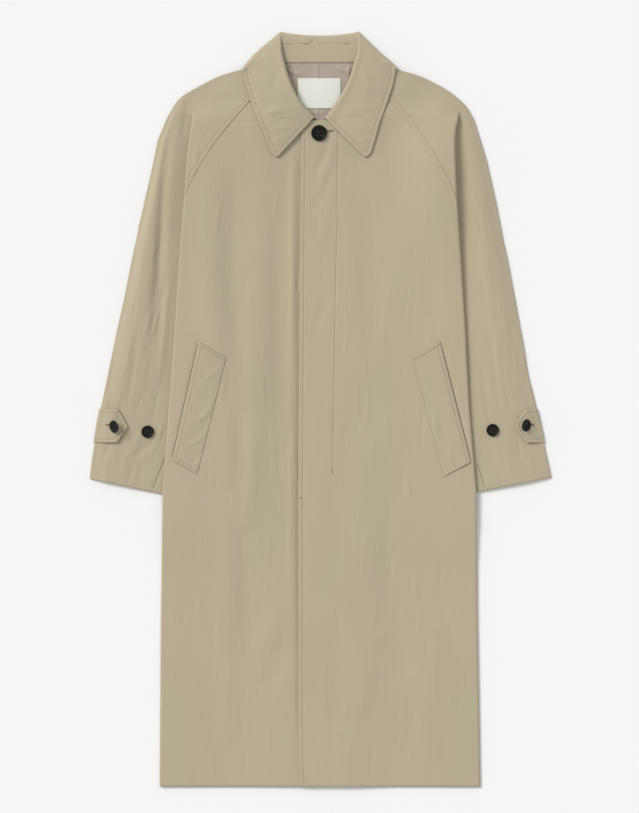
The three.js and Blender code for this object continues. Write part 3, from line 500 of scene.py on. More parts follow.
raglan = both_sides(RAGLAN, soften=0.014)
neck = both_sides(NECK, soften=0.005)
side_loft = both_sides(SIDE_LOFT, soften=0.03)
sleeve_loft = both_sides(SLEEVE_LOFT, soften=0.03)
SEAM_TURNS_UNDER = {LEFT: 0.345, RIGHT: 0.303}
SEAM_TURN = 0.006
# Cuffs: u and height of the inner end, height of the outer end
CUFF = {LEFT: (0.1976, -0.147, -0.1108), RIGHT: (0.1968, -0.143, -0.1086)}
SETTLE_START = 0.005
SETTLE_LENGTH = 0.125


def sleeve_under(y, side):
    """1 where a sleeve lies under the body's side, 0 some way below the cuff."""
    inner_y = CUFF[side][1]
    return ease((y - inner_y + SETTLE_START + SETTLE_LENGTH) / SETTLE_LENGTH)


def fold_at(y, side):
    """Side fold at one height: its place, depth of the tuck, how far it has formed, its spread."""
    outer = outline[side](y)
    inner = neck[side](y) if y > RAGLAN_TOP_Y else raglan[side](y)
    room = outer - inner
    if y > FOLD_BEGINS_Y:
        open_crease = outer - min(SHOULDER_SLOPE, 0.5 * room)
        blend = ease((y - FOLD_BEGINS_Y) / FOLD_SWINGS)
        place = lerp(crease[side](FOLD_BEGINS_Y), open_crease, blend)
        return place, 0.0, 0.0, min(FOLD_SPREAD, 0.16 * room)
    along = np.clip((FOLD_START_Y - y) / (FOLD_START_Y - UNDERARM_Y), 0, 1)
    full_depth = crease[side](UNDERARM_Y) - UNDERARM_U
    depth = lerp(FOLD_START_DEPTH, full_depth, along ** 1.2)
    formed = ease((FOLD_BEGINS_Y - y) / FOLD_FORMS)
    return crease[side](y), depth, formed, FOLD_SPREAD


def top_height(key, y, side):
    """Height of the uppermost cloth's middle, from the coat's middle to the side fold at key 1."""
    centre = UNDER_FRONT_LEVEL if side is LEFT else UPPER_FRONT_LEVEL
    folded = lerp(SLEEVE_LAYER + SHOULDER_RISE, TOP_LAYER, ease((0.500 - y) / 0.035))
    side_level = lerp(SLEEVE_LAYER, folded, sleeve_under(y, side))
    level = lerp(centre, side_level, ease((key - 0.15) / 0.37))
    return level + side_loft[side](y) * ease((key - 0.5) / 0.42)


def sleeve_puff(u, y, side):
    """Height that the visible half of a sleeve adds between the side fold and its outer edge."""
    inner = crease[side](y)
    outer = outline[side](y)
    part = np.clip((u - inner - 0.002) / (outer - inner - 0.004), 0, 1)
    peak = LOFT_PEAK[side]
    bent = np.where(part < peak, 0.5 * part / peak, 0.5 + 0.5 * (part - peak) / (1 - peak))
    return sleeve_loft[side](y) * np.sin(np.pi * bent) ** 1.3


def quarter_turn(u, z, up):
    """A sleeve half turns round its edge to the seam, from the middle of its cloth."""
    angle = np.linspace(0, math.pi / 2, 7)
    drop = ROLL * (1 - np.cos(angle)) - SEAM_GAP * (angle / math.pi)
    return u + ROLL * np.sin(angle), z + (drop if up else -drop)


def upper_row(y, side):
    """The cloth's way across the coat above the underarm as keys, distances and heights.
    Key 1 to 2 is the side fold, 3 to 4 the hidden one and 5 to 6 the sleeve's outer edge."""
    place, depth, formed, spread = fold_at(y, side)
    hidden = place - depth
    top = top_height(1.0, y, side)
    flat_top = top - side_loft[side](y)
    tucked = lerp(lerp(top, SLEEVE_LAYER, 0.5), lerp(flat_top, SLEEVE_LAYER, 0.5), formed)
    turn = lerp(place - spread, place - SIDE_ROUND, formed)
    outer = outline[side](y) - ROLL
    ramp_start = place - SHOULDER_RAMP

    def blended(u, key, z):
        """Above the fold the cloth slopes down evenly from the yoke to the sleeve's outer edge."""
        level = top_height(np.minimum(key, 1), y, side)
        open_z = lerp(level, SLEEVE_LAYER, ease((u - ramp_start) / (outer - ramp_start)))
        return lerp(open_z, z, formed)

    key = np.linspace(0, 1, ROW_STEPS)
    keys, us = [key], [key * turn]
    zs = [blended(us[0], key, top_height(key, y, side))]
    part = np.linspace(0, 1, FOLD_STEPS)[1:]
    quarter = (1 - np.cos(np.pi * part)) / 2
    creased_u = place - SIDE_ROUND + SIDE_ROUND * np.sin(np.pi * part)
    keys.append(1 + part)
    us.append(lerp(place + spread * (2 * part / 3 - 1), creased_u, formed))
    zs.append(blended(us[-1], keys[-1], lerp(top, tucked, quarter)))
    part = np.linspace(0, 1, FOLD_STEPS)
    quarter = (1 - np.cos(np.pi * part)) / 2
    tucked_u = hidden + ROLL - ROLL * np.sin(np.pi * part)
    keys.append(3 + part)
    us.append(lerp(place + spread * (2 * (part + 2) / 3 - 1), tucked_u, formed))
    zs.append(blended(us[-1], keys[-1], lerp(tucked, SLEEVE_LAYER, quarter)))
    key = np.linspace(4, 5, 60)[1:-1]
    u = lerp(us[-1][-1], outer, key - 4)
    keys.append(key)
    us.append(u)
    zs.append(blended(u, key, SLEEVE_LAYER) + sleeve_puff(u, y, side))
    u, z = quarter_turn(outer, SLEEVE_LAYER, up=False)
    keys.append(np.linspace(5, 6, len(u)))
    us.append(u)
    zs.append(z)
    return np.concatenate(keys), np.concatenate(us), np.concatenate(zs)


def raglan_key(y, side):
    """Key at which the raglan seam crosses the row at y."""
    turns_under = SEAM_TURNS_UNDER[side]
    if y >= turns_under:
        place, _, formed, spread = fold_at(y, side)
        return raglan[side](y) / lerp(place - spread, place - SIDE_ROUND, formed)
    if y >= turns_under - SEAM_TURN:
        return 1 + (turns_under - y) / SEAM_TURN
    hidden = (turns_under - SEAM_TURN - y) / (turns_under - SEAM_TURN - UNDERARM_Y)
    return 2 + 1.5 * min(1, hidden)


# The columns of a sleeve's rows: key that a stretch ends at, and how many columns it has
SLEEVE_PLAN = [(1, 24), (2, 8), (3, 8), (4, 8), (5, 70), (6, 6)]
CLOSEST = 0.00015


def stretch_columns(ends, counts, start, end, closest=CLOSEST):
    """Places of a row's columns. Each stretch keeps its columns from row to row, so that folds run on
    smoothly, and a stretch that lies outside the row is drawn together at the row's end."""
    before = np.cumsum(counts)
    after = before[-1] - before
    step = min(closest, 0.5 * (end - start) / before[-1])
    ends = np.clip(np.append(ends[:-1], end), start + before * step, end - after * step)
    starts = np.concatenate([[start], ends[:-1]])
    places = [np.linspace(*pair, count + 1)[1:] for *pair, count in zip(starts, ends, counts)]
    return np.concatenate([[start], *places])


def cut_row(row, first_key, last_key, plan):
    """Points along a row between two keys, at the columns of a plan."""
    key, u, z = row
    inside = (key > first_key + 1e-6) & (key < last_key - 1e-6)
    ends = np.array([first_key, last_key])
    key_cut = np.concatenate([ends[:1], key[inside], ends[1:]])
    u_cut = np.interp(key_cut, key, u)
    z_cut = np.interp(key_cut, key, z)
    along = np.concatenate([[0], np.cumsum(np.hypot(np.diff(u_cut), np.diff(z_cut)))])
    plan_keys, counts = zip(*plan)
    stretch_ends = np.interp(plan_keys, key_cut, along)
    goal = stretch_columns(stretch_ends, counts, SEAM_GAP / 2, along[-1] - SEAM_GAP / 2)
    return [np.interp(goal, along, values) for values in (key_cut, u_cut, z_cut)]


def place_row(cut, side, start_y, end_y, lift):
    """Points of one row in space, and their keys."""
    key, u, z = cut
    span = u[-1] - u[0]
    y = lerp(start_y, end_y, (u - u[0]) / span) if start_y != end_y else np.full(len(u), start_y)
    x = side.sign * u
    return np.stack([x, y, z + neck_lift(x, y, lift)], axis=1), key


SLEEVE_START_Y = 0.262
SLEEVE_TOP_Y = 0.551
# Key at which the hidden inner edge of a sleeve's lower rows starts
INNER_EDGE_KEY = 3.6
# Rows of the sleeve halves above the underarm, and below it
FRONT_HALF_ROWS = (104, 130)
BACK_HALF_ROWS = (64, 80)
# Rows at the place where the raglan seam goes round the side fold, and the room they keep
SEAM_TURN_ROWS = np.array([0, 0.0015, 0.003, 0.0045, SEAM_TURN])
ROW_ROOM = 0.0008


def sleeve_inner_key(y, side):
    if y > RAGLAN_TOP_Y:
        place, _, _, spread = fold_at(y, side)
        return (neck[side](y) + 0.001) / (place - spread)
    return raglan_key(y, side)


def sleeve_ends(part, side):
    """Rows below the underarm swing round from straight across to the slant of the cuff."""
    cuff_u, cuff_inner_y, cuff_outer_y = CUFF[side]
    inner_y = lerp(SLEEVE_START_Y, cuff_inner_y, part)
    outer_y = lerp(SLEEVE_START_Y, cuff_outer_y, part)
    inner_u = lerp(UNDERARM_U + 0.001, cuff_u, part)
    return inner_y, outer_y, inner_u, outline[side](outer_y)


def lower_sleeve_row(ends, side, plan, lower_half):
    """One row of a sleeve below the underarm, from the inner edge to the outer one."""
    inner_y, outer_y, inner_u, outer_u = ends
    level = FLOOR_LAYER if lower_half else SLEEVE_LAYER
    rise_u, rise_z = quarter_turn(0.0, level, up=lower_half)
    start, end = inner_u + ROLL, outer_u - ROLL
    u = np.linspace(start, end, ROW_STEPS)[1:-1]
    y = lerp(inner_y, outer_y, (u - inner_u) / (outer_u - inner_u))
    z = level + (0 if lower_half else sleeve_puff(u, y, side))
    us = np.concatenate([start - rise_u[::-1], u, end + rise_u])
    zs = np.concatenate([rise_z[::-1], z + np.zeros(len(u)), rise_z])
    inner_keys = np.linspace(INNER_EDGE_KEY, 4, len(rise_u))
    outer_keys = np.linspace(5, 6, len(rise_u))
    keys = np.concatenate([inner_keys, np.linspace(4.01, 4.99, len(u)), outer_keys])
    return cut_row((keys, us, zs), INNER_EDGE_KEY, 6, plan)


def with_extra_rows(rows, extra):
    """Heights of rows from the top down, with extra ones instead of those close to them."""
    rows = np.array([y for y in rows if np.abs(extra - y).min() > ROW_ROOM])
    return np.sort(np.concatenate([rows, extra]))[::-1]


def sleeve_heights(side, count):
    """Heights of a sleeve's rows above the underarm, closer where the seam turns under."""
    rows = np.linspace(SLEEVE_TOP_Y, UNDERARM_Y, count)
    return with_extra_rows(rows, SEAM_TURNS_UNDER[side] - SEAM_TURN_ROWS)


# Long soft folds of the sleeves, down the arm: way, half width, height
SLEEVE_CREASES = {
    LEFT: [
        (
            [(-0.236, 0.465), (-0.246, 0.415), (-0.253, 0.330), (-0.257, 0.210), (-0.262, 0.090)],
            0.0085,
            -0.0044,
        ),
        ([(-0.252, 0.300), (-0.266, 0.190), (-0.276, 0.080), (-0.282, 0.000)], 0.0055, -0.0016),
        ([(-0.268, 0.160), (-0.276, 0.090), (-0.284, 0.020)], 0.0040, 0.0013),
        ([(-0.244, 0.220), (-0.250, 0.120), (-0.262, 0.030)], 0.0045, 0.0014),
        ([(-0.292, 0.130), (-0.300, 0.060), (-0.312, -0.005)], 0.0045, -0.0012),
        ([(-0.258, 0.040), (-0.266, -0.005), (-0.272, -0.030)], 0.0040, -0.0010),
        ([(-0.284, -0.030), (-0.298, -0.060), (-0.318, -0.085)], 0.0060, 0.0012),
        ([(-0.262, -0.050), (-0.284, -0.062), (-0.300, -0.080)], 0.0040, -0.0011),
        ([(-0.300, -0.085), (-0.305, -0.105), (-0.309, -0.118)], 0.0035, -0.0008),
        ([(-0.286, -0.088), (-0.288, -0.108), (-0.292, -0.124)], 0.0032, -0.0008),
        ([(-0.205, 0.500), (-0.216, 0.470), (-0.222, 0.430)], 0.0060, -0.0010),
        ([(-0.196, 0.430), (-0.200, 0.400), (-0.202, 0.372)], 0.0040, 0.0008),
    ],
    RIGHT: [
        ([(0.2440, 0.430), (0.2430, 0.390), (0.2450, 0.330), (0.2480, 0.250)], 0.0080, 0.0010),
        ([(0.252, 0.380), (0.262, 0.280), (0.270, 0.180), (0.280, 0.080)], 0.0075, 0.0012),
        ([(0.262, 0.200), (0.272, 0.120), (0.282, 0.040), (0.288, -0.010)], 0.0050, -0.0009),
        ([(0.276, 0.130), (0.286, 0.060), (0.296, 0.000)], 0.0045, 0.0008),
        ([(0.258, 0.080), (0.262, 0.020), (0.268, -0.030)], 0.0045, -0.0007),
        ([(0.300, -0.062), (0.318, -0.074), (0.332, -0.094)], 0.0050, -0.0011),
        ([(0.290, -0.060), (0.300, -0.078), (0.306, -0.100)], 0.0060, 0.0008),
        ([(0.252, -0.070), (0.258, -0.095), (0.264, -0.120)], 0.0040, -0.0008),
    ],
}
# The seam that comes out from under the body beside each cuff
UNDERARM_SEAM = {
    LEFT: [(-0.2486, -0.075), (-0.2600, -0.104), (-0.2684, -0.1265)],
    RIGHT: [(0.2510, -0.086), (0.2575, -0.106), (0.2628, -0.1245)],
}
RAGLAN_STITCH_INSET = 0.0064
SLEEVE_CRINKLE = {LEFT: 0.00085, RIGHT: 0.00042}


RAGLAN_HEIGHTS = np.linspace(0.519, 0.3035, 44)


def raglan_way(side, inset):
    """Follows the raglan seam as far as the side fold, at a distance towards the sleeve."""
    heights = RAGLAN_HEIGHTS[RAGLAN_HEIGHTS > SEAM_TURNS_UNDER[side]]
    u = raglan[side](heights)
    slope = np.gradient(u, heights)
    length = np.hypot(1, slope)
    return np.stack([side.sign * (u + inset / length), heights - inset * slope / length], axis=1)


def stitch_dent(x, y, way, depth=0.0005, width=0.0011, pucker=0.00022, reach=0.0042):
    """A stitched line pulls the cloth in and puckers it on both sides."""
    distance, along, _ = near(x, y, way)
    wobble = np.sin(2 * np.pi * along / 0.0067 + 2.1 * np.sin(2 * np.pi * along / 0.037))
    drawn = -depth * np.exp(-((distance / width) ** 2))
    return drawn + pucker * wobble * np.exp(-((distance / reach) ** 2))


raglan_stitch = {side: raglan_way(side, RAGLAN_STITCH_INSET) for side in SIDES}
raglan_seam = {side: raglan_way(side, 0.0) for side in SIDES}


def crinkles(side, seed, count, u_range, y_range, lean, size):
    """Short fine creases scattered over a panel, all leaning nearly the same way."""
    rng = np.random.default_rng(seed + side.column)
    found = []
    for _ in range(count):
        u, y = rng.uniform(*u_range), rng.uniform(*y_range)
        length = rng.uniform(0.02, 0.07)
        slant = lean + rng.normal(0, 0.08)
        bend = u + slant * length / 2 + rng.normal(0, 0.001)
        way = [(u, y), (bend, y - length / 2), (u + slant * length, y - length)]
        way = [(side.sign * place, height) for place, height in way]
        found.append((way, rng.uniform(0.0018, 0.0042), rng.normal(0, size)))
    return found


def sleeve_front(side):
    rows, keys = [], []
    upper_count, lower_count = FRONT_HALF_ROWS
    for y in sleeve_heights(side, upper_count):
        cut = cut_row(upper_row(y, side), sleeve_inner_key(y, side), 6, SLEEVE_PLAN)
        points, key = place_row(cut, side, y, y, FRONT_LIFT)
        rows.append(points)
        keys.append(key)
    for part in np.linspace(0, 1, lower_count):
        ends = sleeve_ends(part, side)
        cut = lower_sleeve_row(ends, side, SLEEVE_PLAN, lower_half=False)
        points, key = place_row(cut, side, ends[0], ends[1], 0)
        rows.append(points)
        keys.append(key)
    middle, key = np.array(rows), np.array(keys)
    x, y = middle[..., 0], middle[..., 1]
    fine = crinkles(side, 7, 90, (0.235, 0.35), (-0.10, 0.42), 0.24, SLEEVE_CRINKLE[side])
    beyond_fold = ease((np.abs(x) - crease[side](y) - 0.002) / 0.012)
    shown = np.where(key < 1.3, 1.0, np.where(key > 4, beyond_fold, 0.0))
    relief = shown * creased(x, y, SLEEVE_CREASES[side] + fine)
    edge = near(x, y, raglan_seam[side])[0]
    on_top = key < 1.05
    band = 0.0007 * np.clip(1 - np.abs(edge - 0.0032) / 0.0036, 0, 1) ** 0.6
    relief += np.where(on_top, band + stitch_dent(x, y, raglan_stitch[side]), 0)
    relief += np.where(key > 4, stitch_dent(x, y, UNDERARM_SEAM[side], 0.0009, 0.0014, 0.00015), 0)
    node = f"sleeve_front_{side.wearer}"
    piece = cloth_sheet(f"{node}_cloth", middle, relief=relief, face_up=(190, 80), from_end=True)
    return sew_in(piece, node, cloth)


FLAT_PLAN = [(5, 34), (6, 8)]


def sleeve_back(side):
    rows = []
    upper_count, lower_count = BACK_HALF_ROWS
    for y in sleeve_heights(side, upper_count):
        inner = back_half[side](y) + SEAM_GAP
        outer = outline[side](y) - ROLL
        turn_u, turn_z = quarter_turn(outer, FLOOR_LAYER, up=True)
        u = np.concatenate([np.linspace(inner, outer, 40)[:-1], turn_u])
        z = np.concatenate([np.full(39, FLOOR_LAYER), turn_z])
        cut = cut_row((np.linspace(4, 6, len(u)), u, z), 4, 6, FLAT_PLAN)
        rows.append(place_row(cut, side, y, y, COLLAR_LIFT)[0])
    for part in np.linspace(0, 1, lower_count):
        ends = sleeve_ends(part, side)
        cut = lower_sleeve_row(ends, side, FLAT_PLAN, lower_half=True)
        rows.append(place_row(cut, side, ends[0], ends[1], 0)[0])
    node = f"sleeve_back_{side.wearer}"
    piece = cloth_sheet(f"{node}_cloth", np.array(rows), face_up=(90, 20), from_end=True)
    return sew_in(piece, node, cloth)


for side in SIDES:
    sleeve_back(side)
sleeve_fronts = {side: sleeve_front(side) for side in SIDES}

# Fronts. Two panels, each folded round its side and back under to the side seam. The wearer's left
# front lies on top, with a concealed fly: its edge is topstitched, and a second line further in holds
# the fly's facing. The wearer's right front runs on under it.
OVERLAP_EDGE = 0.028
FRONT_TOP_Y = 0.520
SKIRT_TOP_Y = 0.267
CHEST_ROWS = 66
SKIRT_ROWS = 190
NECK_POINT_Y = 0.4636
# Rows at the place where a front's neck curve turns into its straight edge
NECK_POINT_ROWS = np.array([0, 0.0006, 0.0012, 0.0018, 0.0024])
SIDE_SEAM_KEY = 4.3
# The edge of the fly: height along the coat, x
PLACKET = [
    (0.462, -0.0304),
    (0.300, -0.0322),
    (0.100, -0.0336),
    (-0.120, -0.0352),
    (-0.500, -0.0350),
    (-0.604, -0.0332),
]
# The line that holds the fly's facing
FLY = [(0.448, 0.0274), (0.300, 0.0256), (0.175, 0.0234), (0.000, 0.0206), (-0.100, 0.0192)]
PLACKET_STITCH_INSET = 0.0060
placket = Edge([(y, -x, -x) for y, x in PLACKET], 0, soften=0.03)
placket_heights = np.linspace(0.444, HEM_Y + 0.003, 110)
placket_stitch = np.stack([PLACKET_STITCH_INSET - placket(placket_heights), placket_heights], axis=1)
fly_stitch = soften_way([(x, y) for y, x in FLY])
FRONT_CREASES = {
    LEFT: [
        ([(-0.172, 0.400), (-0.178, 0.280), (-0.172, 0.150), (-0.166, 0.010)], 0.0200, 0.0024),
        ([(-0.136, 0.390), (-0.143, 0.270), (-0.137, 0.160), (-0.126, 0.040)], 0.0140, -0.0016),
        ([(-0.100, 0.360), (-0.096, 0.220), (-0.103, 0.060), (-0.098, -0.060)], 0.0200, 0.0016),
        ([(-0.066, 0.330), (-0.068, 0.200), (-0.064, 0.060), (-0.070, -0.100)], 0.0120, -0.0010),
        ([(-0.0322, 0.430), (-0.0335, 0.200), (-0.0356, -0.100), (-0.0350, -0.604)], 0.0050, -0.0018),
        ([(-0.0428, 0.430), (-0.0448, 0.330), (-0.0450, 0.160), (-0.0460, 0.060)], 0.0056, 0.0024),
        ([(-0.0480, 0.100), (-0.0470, -0.100), (-0.0480, -0.300)], 0.0050, 0.0009),
        ([(-0.130, 0.010), (-0.127, -0.060), (-0.132, -0.150)], 0.0110, -0.0013),
        ([(-0.112, 0.000), (-0.108, -0.080), (-0.114, -0.180)], 0.0120, 0.0012),
        ([(-0.150, -0.150), (-0.146, -0.280), (-0.152, -0.420), (-0.148, -0.560)], 0.0200, 0.0014),
        ([(-0.118, -0.180), (-0.120, -0.300), (-0.112, -0.410)], 0.0150, -0.0011),
        ([(-0.096, -0.450), (-0.074, -0.425), (-0.052, -0.360)], 0.0170, -0.0014),
        ([(-0.110, -0.400), (-0.084, -0.370), (-0.066, -0.310)], 0.0170, 0.0010),
        ([(-0.200, -0.160), (-0.212, -0.300), (-0.206, -0.460)], 0.0180, -0.0006),
        ([(-0.060, -0.080), (-0.050, -0.050), (-0.044, -0.010)], 0.0070, -0.0009),
    ],
    RIGHT: [
        ([(0.014, 0.432), (0.004, 0.402), (-0.012, 0.374)], 0.0050, -0.0011),
        ([(0.022, 0.424), (0.012, 0.390), (-0.004, 0.352)], 0.0060, 0.0010),
        ([(0.016, 0.380), (0.004, 0.340), (-0.018, 0.310)], 0.0060, -0.0008),
        ([(0.014, 0.330), (0.006, 0.280), (-0.014, 0.250)], 0.0090, 0.0009),
        ([(0.040, 0.380), (0.046, 0.260), (0.040, 0.120)], 0.0180, 0.0012),
        ([(0.086, 0.360), (0.080, 0.220), (0.088, 0.080)], 0.0200, -0.0010),
        ([(0.128, 0.340), (0.130, 0.220), (0.120, 0.120)], 0.0200, 0.0010),
        ([(0.172, 0.300), (0.176, 0.200), (0.180, 0.110)], 0.0160, -0.0008),
        ([(0.010, 0.180), (-0.004, 0.140), (-0.018, 0.110)], 0.0070, -0.0007),
        ([(0.070, -0.040), (0.064, -0.140), (0.072, -0.250)], 0.0200, 0.0011),
        ([(0.010, -0.120), (0.020, -0.160), (0.044, -0.190)], 0.0120, -0.0010),
        ([(0.112, -0.120), (0.106, -0.230), (0.112, -0.330)], 0.0160, -0.0009),
        ([(0.104, -0.360), (0.130, -0.398), (0.152, -0.425)], 0.0160, -0.0014),
        ([(0.066, -0.360), (0.076, -0.430), (0.058, -0.500)], 0.0180, 0.0011),
        ([(0.180, -0.300), (0.186, -0.400), (0.178, -0.520)], 0.0180, 0.0009),
        ([(0.020, -0.320), (0.028, -0.420), (0.018, -0.540)], 0.0140, -0.0008),
        ([(0.150, -0.460), (0.140, -0.520), (0.148, -0.590)], 0.0120, -0.0007),
        ([(-0.002, 0.455), (0.006, 0.449), (0.014, 0.446)], 0.0030, 0.0007),
    ],
}


# Corners of the pocket welts: outer top, outer bottom, inner top, inner bottom
WELT_CORNERS = {
    LEFT: [(-0.1947, 0.1083), (-0.2370, -0.0800), (-0.1507, 0.0835), (-0.1974, -0.1048)],
    RIGHT: [(0.1906, 0.1093), (0.2402, -0.0845), (0.1456, 0.0826), (0.1960, -0.1085)],
}


def front_inner_u(y, side):
    """u of a front's inner edge: the neck curve above, the straight overlap below it."""
    straight = -OVERLAP_EDGE if side is LEFT else -float(placket(y))
    across = ease((NECK_POINT_Y - y) / 0.0022)
    return lerp(neck[side](y) + 0.001, straight, across)


def lower_front_row(y, side):
    """A front's way below the underarm: round the side fold, under it and down to the seam."""
    place = crease[side](y)
    top = top_height(1.0, y, side)
    flap = lerp(FLOOR_LAYER, FLAP_LAYER, sleeve_under(y, side))
    seam = back_half[side](y) + SEAM_GAP
    key = np.linspace(0, 1, 90)
    keys, us, zs = [key], [key * (place - SIDE_ROUND)], [top_height(key, y, side)]
    part = np.linspace(0, 1, FOLD_STEPS)[1:]
    keys.append(1 + part)
    us.append(place - SIDE_ROUND + SIDE_ROUND * np.sin(np.pi * part))
    zs.append(lerp(top, flap, (1 - np.cos(np.pi * part)) / 2))
    part = np.linspace(0, 1, 9)
    keys.append(3 + part)
    us.append(lerp(seam + 0.016, seam + 0.004, part))
    zs.append(lerp(flap, FLOOR_LAYER, ease(part)))
    keys.append(np.array([SIDE_SEAM_KEY]))
    us.append(np.array([seam]))
    zs.append(np.array([FLOOR_LAYER]))
    return np.concatenate(keys), np.concatenate(us), np.concatenate(zs)


def front_heights(side):
    chest = np.linspace(FRONT_TOP_Y, UNDERARM_Y, CHEST_ROWS)
    skirt = np.linspace(SKIRT_TOP_Y, HEM_Y, SKIRT_ROWS)
    extra = np.concatenate([SEAM_TURNS_UNDER[side] - SEAM_TURN_ROWS, NECK_POINT_Y - NECK_POINT_ROWS])
    return with_extra_rows(np.concatenate([chest, skirt]), extra)


# Columns of the fronts, close together where the edge of the fly and its stitched line run
FRONT_PLAN = {
    LEFT: [(0.105, 16), (0.165, 20), (1, 78), (2, 8), (9, 10)],
    RIGHT: [(-0.085, 22), (0.068, 12), (0.130, 16), (1, 64), (2, 8), (9, 10)],
}


def front_row(y, side):
    """One row of a front from its inner edge to its seam, its overlap at one level."""
    upper = y >= UNDERARM_Y - 1e-6
    row = upper_row(y, side) if upper else lower_front_row(y, side)
    seam_key = raglan_key(y, side) if upper else SIDE_SEAM_KEY
    turn = np.interp(1.0, row[0], row[1])
    inner = front_inner_u(y, side)
    if inner < 0:
        key, u, z = row
        level = UNDER_FRONT_LEVEL if side is LEFT else UPPER_FRONT_LEVEL
        row = (np.append(inner / turn, key), np.append(inner, u), np.append(level, z))
    return cut_row(row, inner / turn, seam_key, FRONT_PLAN[side])


def front(side, creases):
    rows, keys = [], []
    for y in front_heights(side):
        points, key = place_row(front_row(y, side), side, y, y, FRONT_LIFT)
        rows.append(points)
        keys.append(key)
    middle, key = np.array(rows), np.array(keys)
    x, y = middle[..., 0], middle[..., 1]
    fine = crinkles(side, 21, 110, (0.02, 0.2), (-0.56, 0.42), 0.0, 0.00034)
    shown = np.where(key < 1, 1.0, np.clip(1.4 - key, 0, 1))
    relief = shown * creased(x, y, creases + fine)
    seam = near(x, y, raglan_seam[side])[0]
    relief += shown * np.where(seam < 0.02, -0.0004 * np.exp(-((seam / 0.0016) ** 2)), 0)
    outer_top, outer_bottom, inner_top, inner_bottom = WELT_CORNERS[side]
    for mouth, depth in (((outer_top, outer_bottom), 0.0010), ((inner_top, inner_bottom), 0.0001)):
        relief += shown * stitch_dent(x, y, mouth, depth, 0.0034, 0.00022, 0.0070)
    if side is RIGHT:
        relief += shown * stitch_dent(x, y, placket_stitch, 0.0004, 0.0012, 0.00026, 0.0036)
        relief += shown * stitch_dent(x, y, fly_stitch, 0.0005, 0.0012, 0.00020, 0.0050)
    node = f"front_{side.wearer}"
    piece = cloth_sheet(f"{node}_cloth", middle, relief=relief, face_up=(150, 60))
    return sew_in(piece, node, cloth)


fronts = {side: front(side, FRONT_CREASES[side]) for side in SIDES}

# Lining. Satin of a dull mauve behind the neck, in two halves with a seam down the middle. It shows
# only inside the neck, where it lies in soft wrinkles on the back.
LINING_THICKNESS = 0.0008
LINING_LEVEL = 0.0029
LINING_ROWS = 68
LINING_SEAM_X = -0.0032
# Height along the coat, half width
LINING_HALF = [
    (0.5575, 0.057),
    (0.530, 0.070),
    (0.506, 0.062),
    (0.490, 0.058),
    (0.470, 0.044),
    (0.455, 0.038),
]
LINING_CREASES = [
    ([(-0.056, 0.548), (-0.046, 0.540), (-0.030, 0.536)], 0.0035, 0.0011),
    ([(-0.052, 0.538), (-0.040, 0.530), (-0.028, 0.528)], 0.0030, -0.0009),
    ([(-0.048, 0.552), (-0.044, 0.544), (-0.034, 0.532)], 0.0028, -0.0008),
    ([(0.026, 0.550), (0.036, 0.544), (0.052, 0.541)], 0.0040, 0.0012),
    ([(0.020, 0.538), (0.034, 0.536), (0.050, 0.528)], 0.0030, -0.0010),
    ([(0.044, 0.552), (0.046, 0.542), (0.042, 0.524)], 0.0030, 0.0010),
    ([(-0.050, 0.520), (-0.046, 0.506), (-0.040, 0.490)], 0.0040, 0.0009),
    ([(0.044, 0.516), (0.042, 0.500), (0.036, 0.486)], 0.0036, 0.0009),
    ([(-0.020, 0.480), (-0.010, 0.474), (0.010, 0.476)], 0.0030, 0.0005),
]
LINING_MAUVE = (0.420, 0.350, 0.292, 1)
LINING_DEEP = (0.330, 0.268, 0.222, 1)


def satin_material(name, light, deep, roughness):
    material, start, surface = new_material(name)
    cut = start.add("ShaderNodeAttribute", {"attribute_name": "cut"}, output=1)
    cloud = cut.noise(28.0, detail=3.0)
    threads = cut.stretched((2600.0, 60.0, 1.0)).noise(1.0, detail=1.0)
    connect(surface, "Base Color", start.mixed(cloud * 0.5 + threads * 0.4 - 0.2, light, deep))
    height = threads * 0.00006 + cloud * 0.0006
    bump = start.add("ShaderNodeBump", None, {"Strength": 0.6, "Distance": 1.0, "Height": height})
    connect(surface, "Normal", bump)
    connect(surface, "Roughness", threads * 0.12 + roughness)
    surface.inputs["Sheen Weight"].default_value = 0.1
    return material


def lining_panel():
    half = Edge(LINING_HALF, 0)
    heights = np.linspace(LINING_HALF[0][0], LINING_HALF[-1][0], LINING_ROWS)
    beside_seam = LINING_SEAM_X + np.arange(-0.0030, 0.0031, 0.0003)
    rows = []
    for y in heights:
        left = np.linspace(-half(y), beside_seam[0], 50)[:-1]
        right = np.linspace(beside_seam[-1], half(y), 50)[1:]
        x = np.concatenate([left, beside_seam, right])
        rows.append(np.stack([x, np.full(len(x), y), np.full(len(x), LINING_LEVEL)], axis=1))
    middle = np.array(rows)
    x, y = middle[..., 0], middle[..., 1]
    middle[..., 2] += neck_lift(x, y, COLLAR_LIFT)
    relief = np.maximum(1.7 * creased(x, y, LINING_CREASES) + 0.0002, -0.0003)
    beyond = LINING_SEAM_X - x
    relief += 0.0010 * ease(beyond / 0.0012 + 0.5) * np.exp(-np.maximum(beyond, 0) / 0.004)
    return cloth_sheet("lining_satin", middle, LINING_THICKNESS, relief)


satin = satin_material("lining_satin", LINING_MAUVE, LINING_DEEP, 0.42)
sew_in(lining_panel(), "lining", satin)

# Label. A bare rectangle of woven off-white tape with turned ends, sewn to the lining all round.
LABEL_LEFT, LABEL_RIGHT = -0.0362, 0.0320
LABEL_TOP, LABEL_BOTTOM = 0.530, 0.482
LABEL_LEVEL = LINING_LEVEL + 0.0013
LABEL_STITCH_INSET = 0.0024
LABEL_ROWS = 50
LABEL_COLUMNS = 68
LABEL_WHITE = (0.760, 0.775, 0.700, 1)
LABEL_GREY = (0.660, 0.675, 0.610, 1)


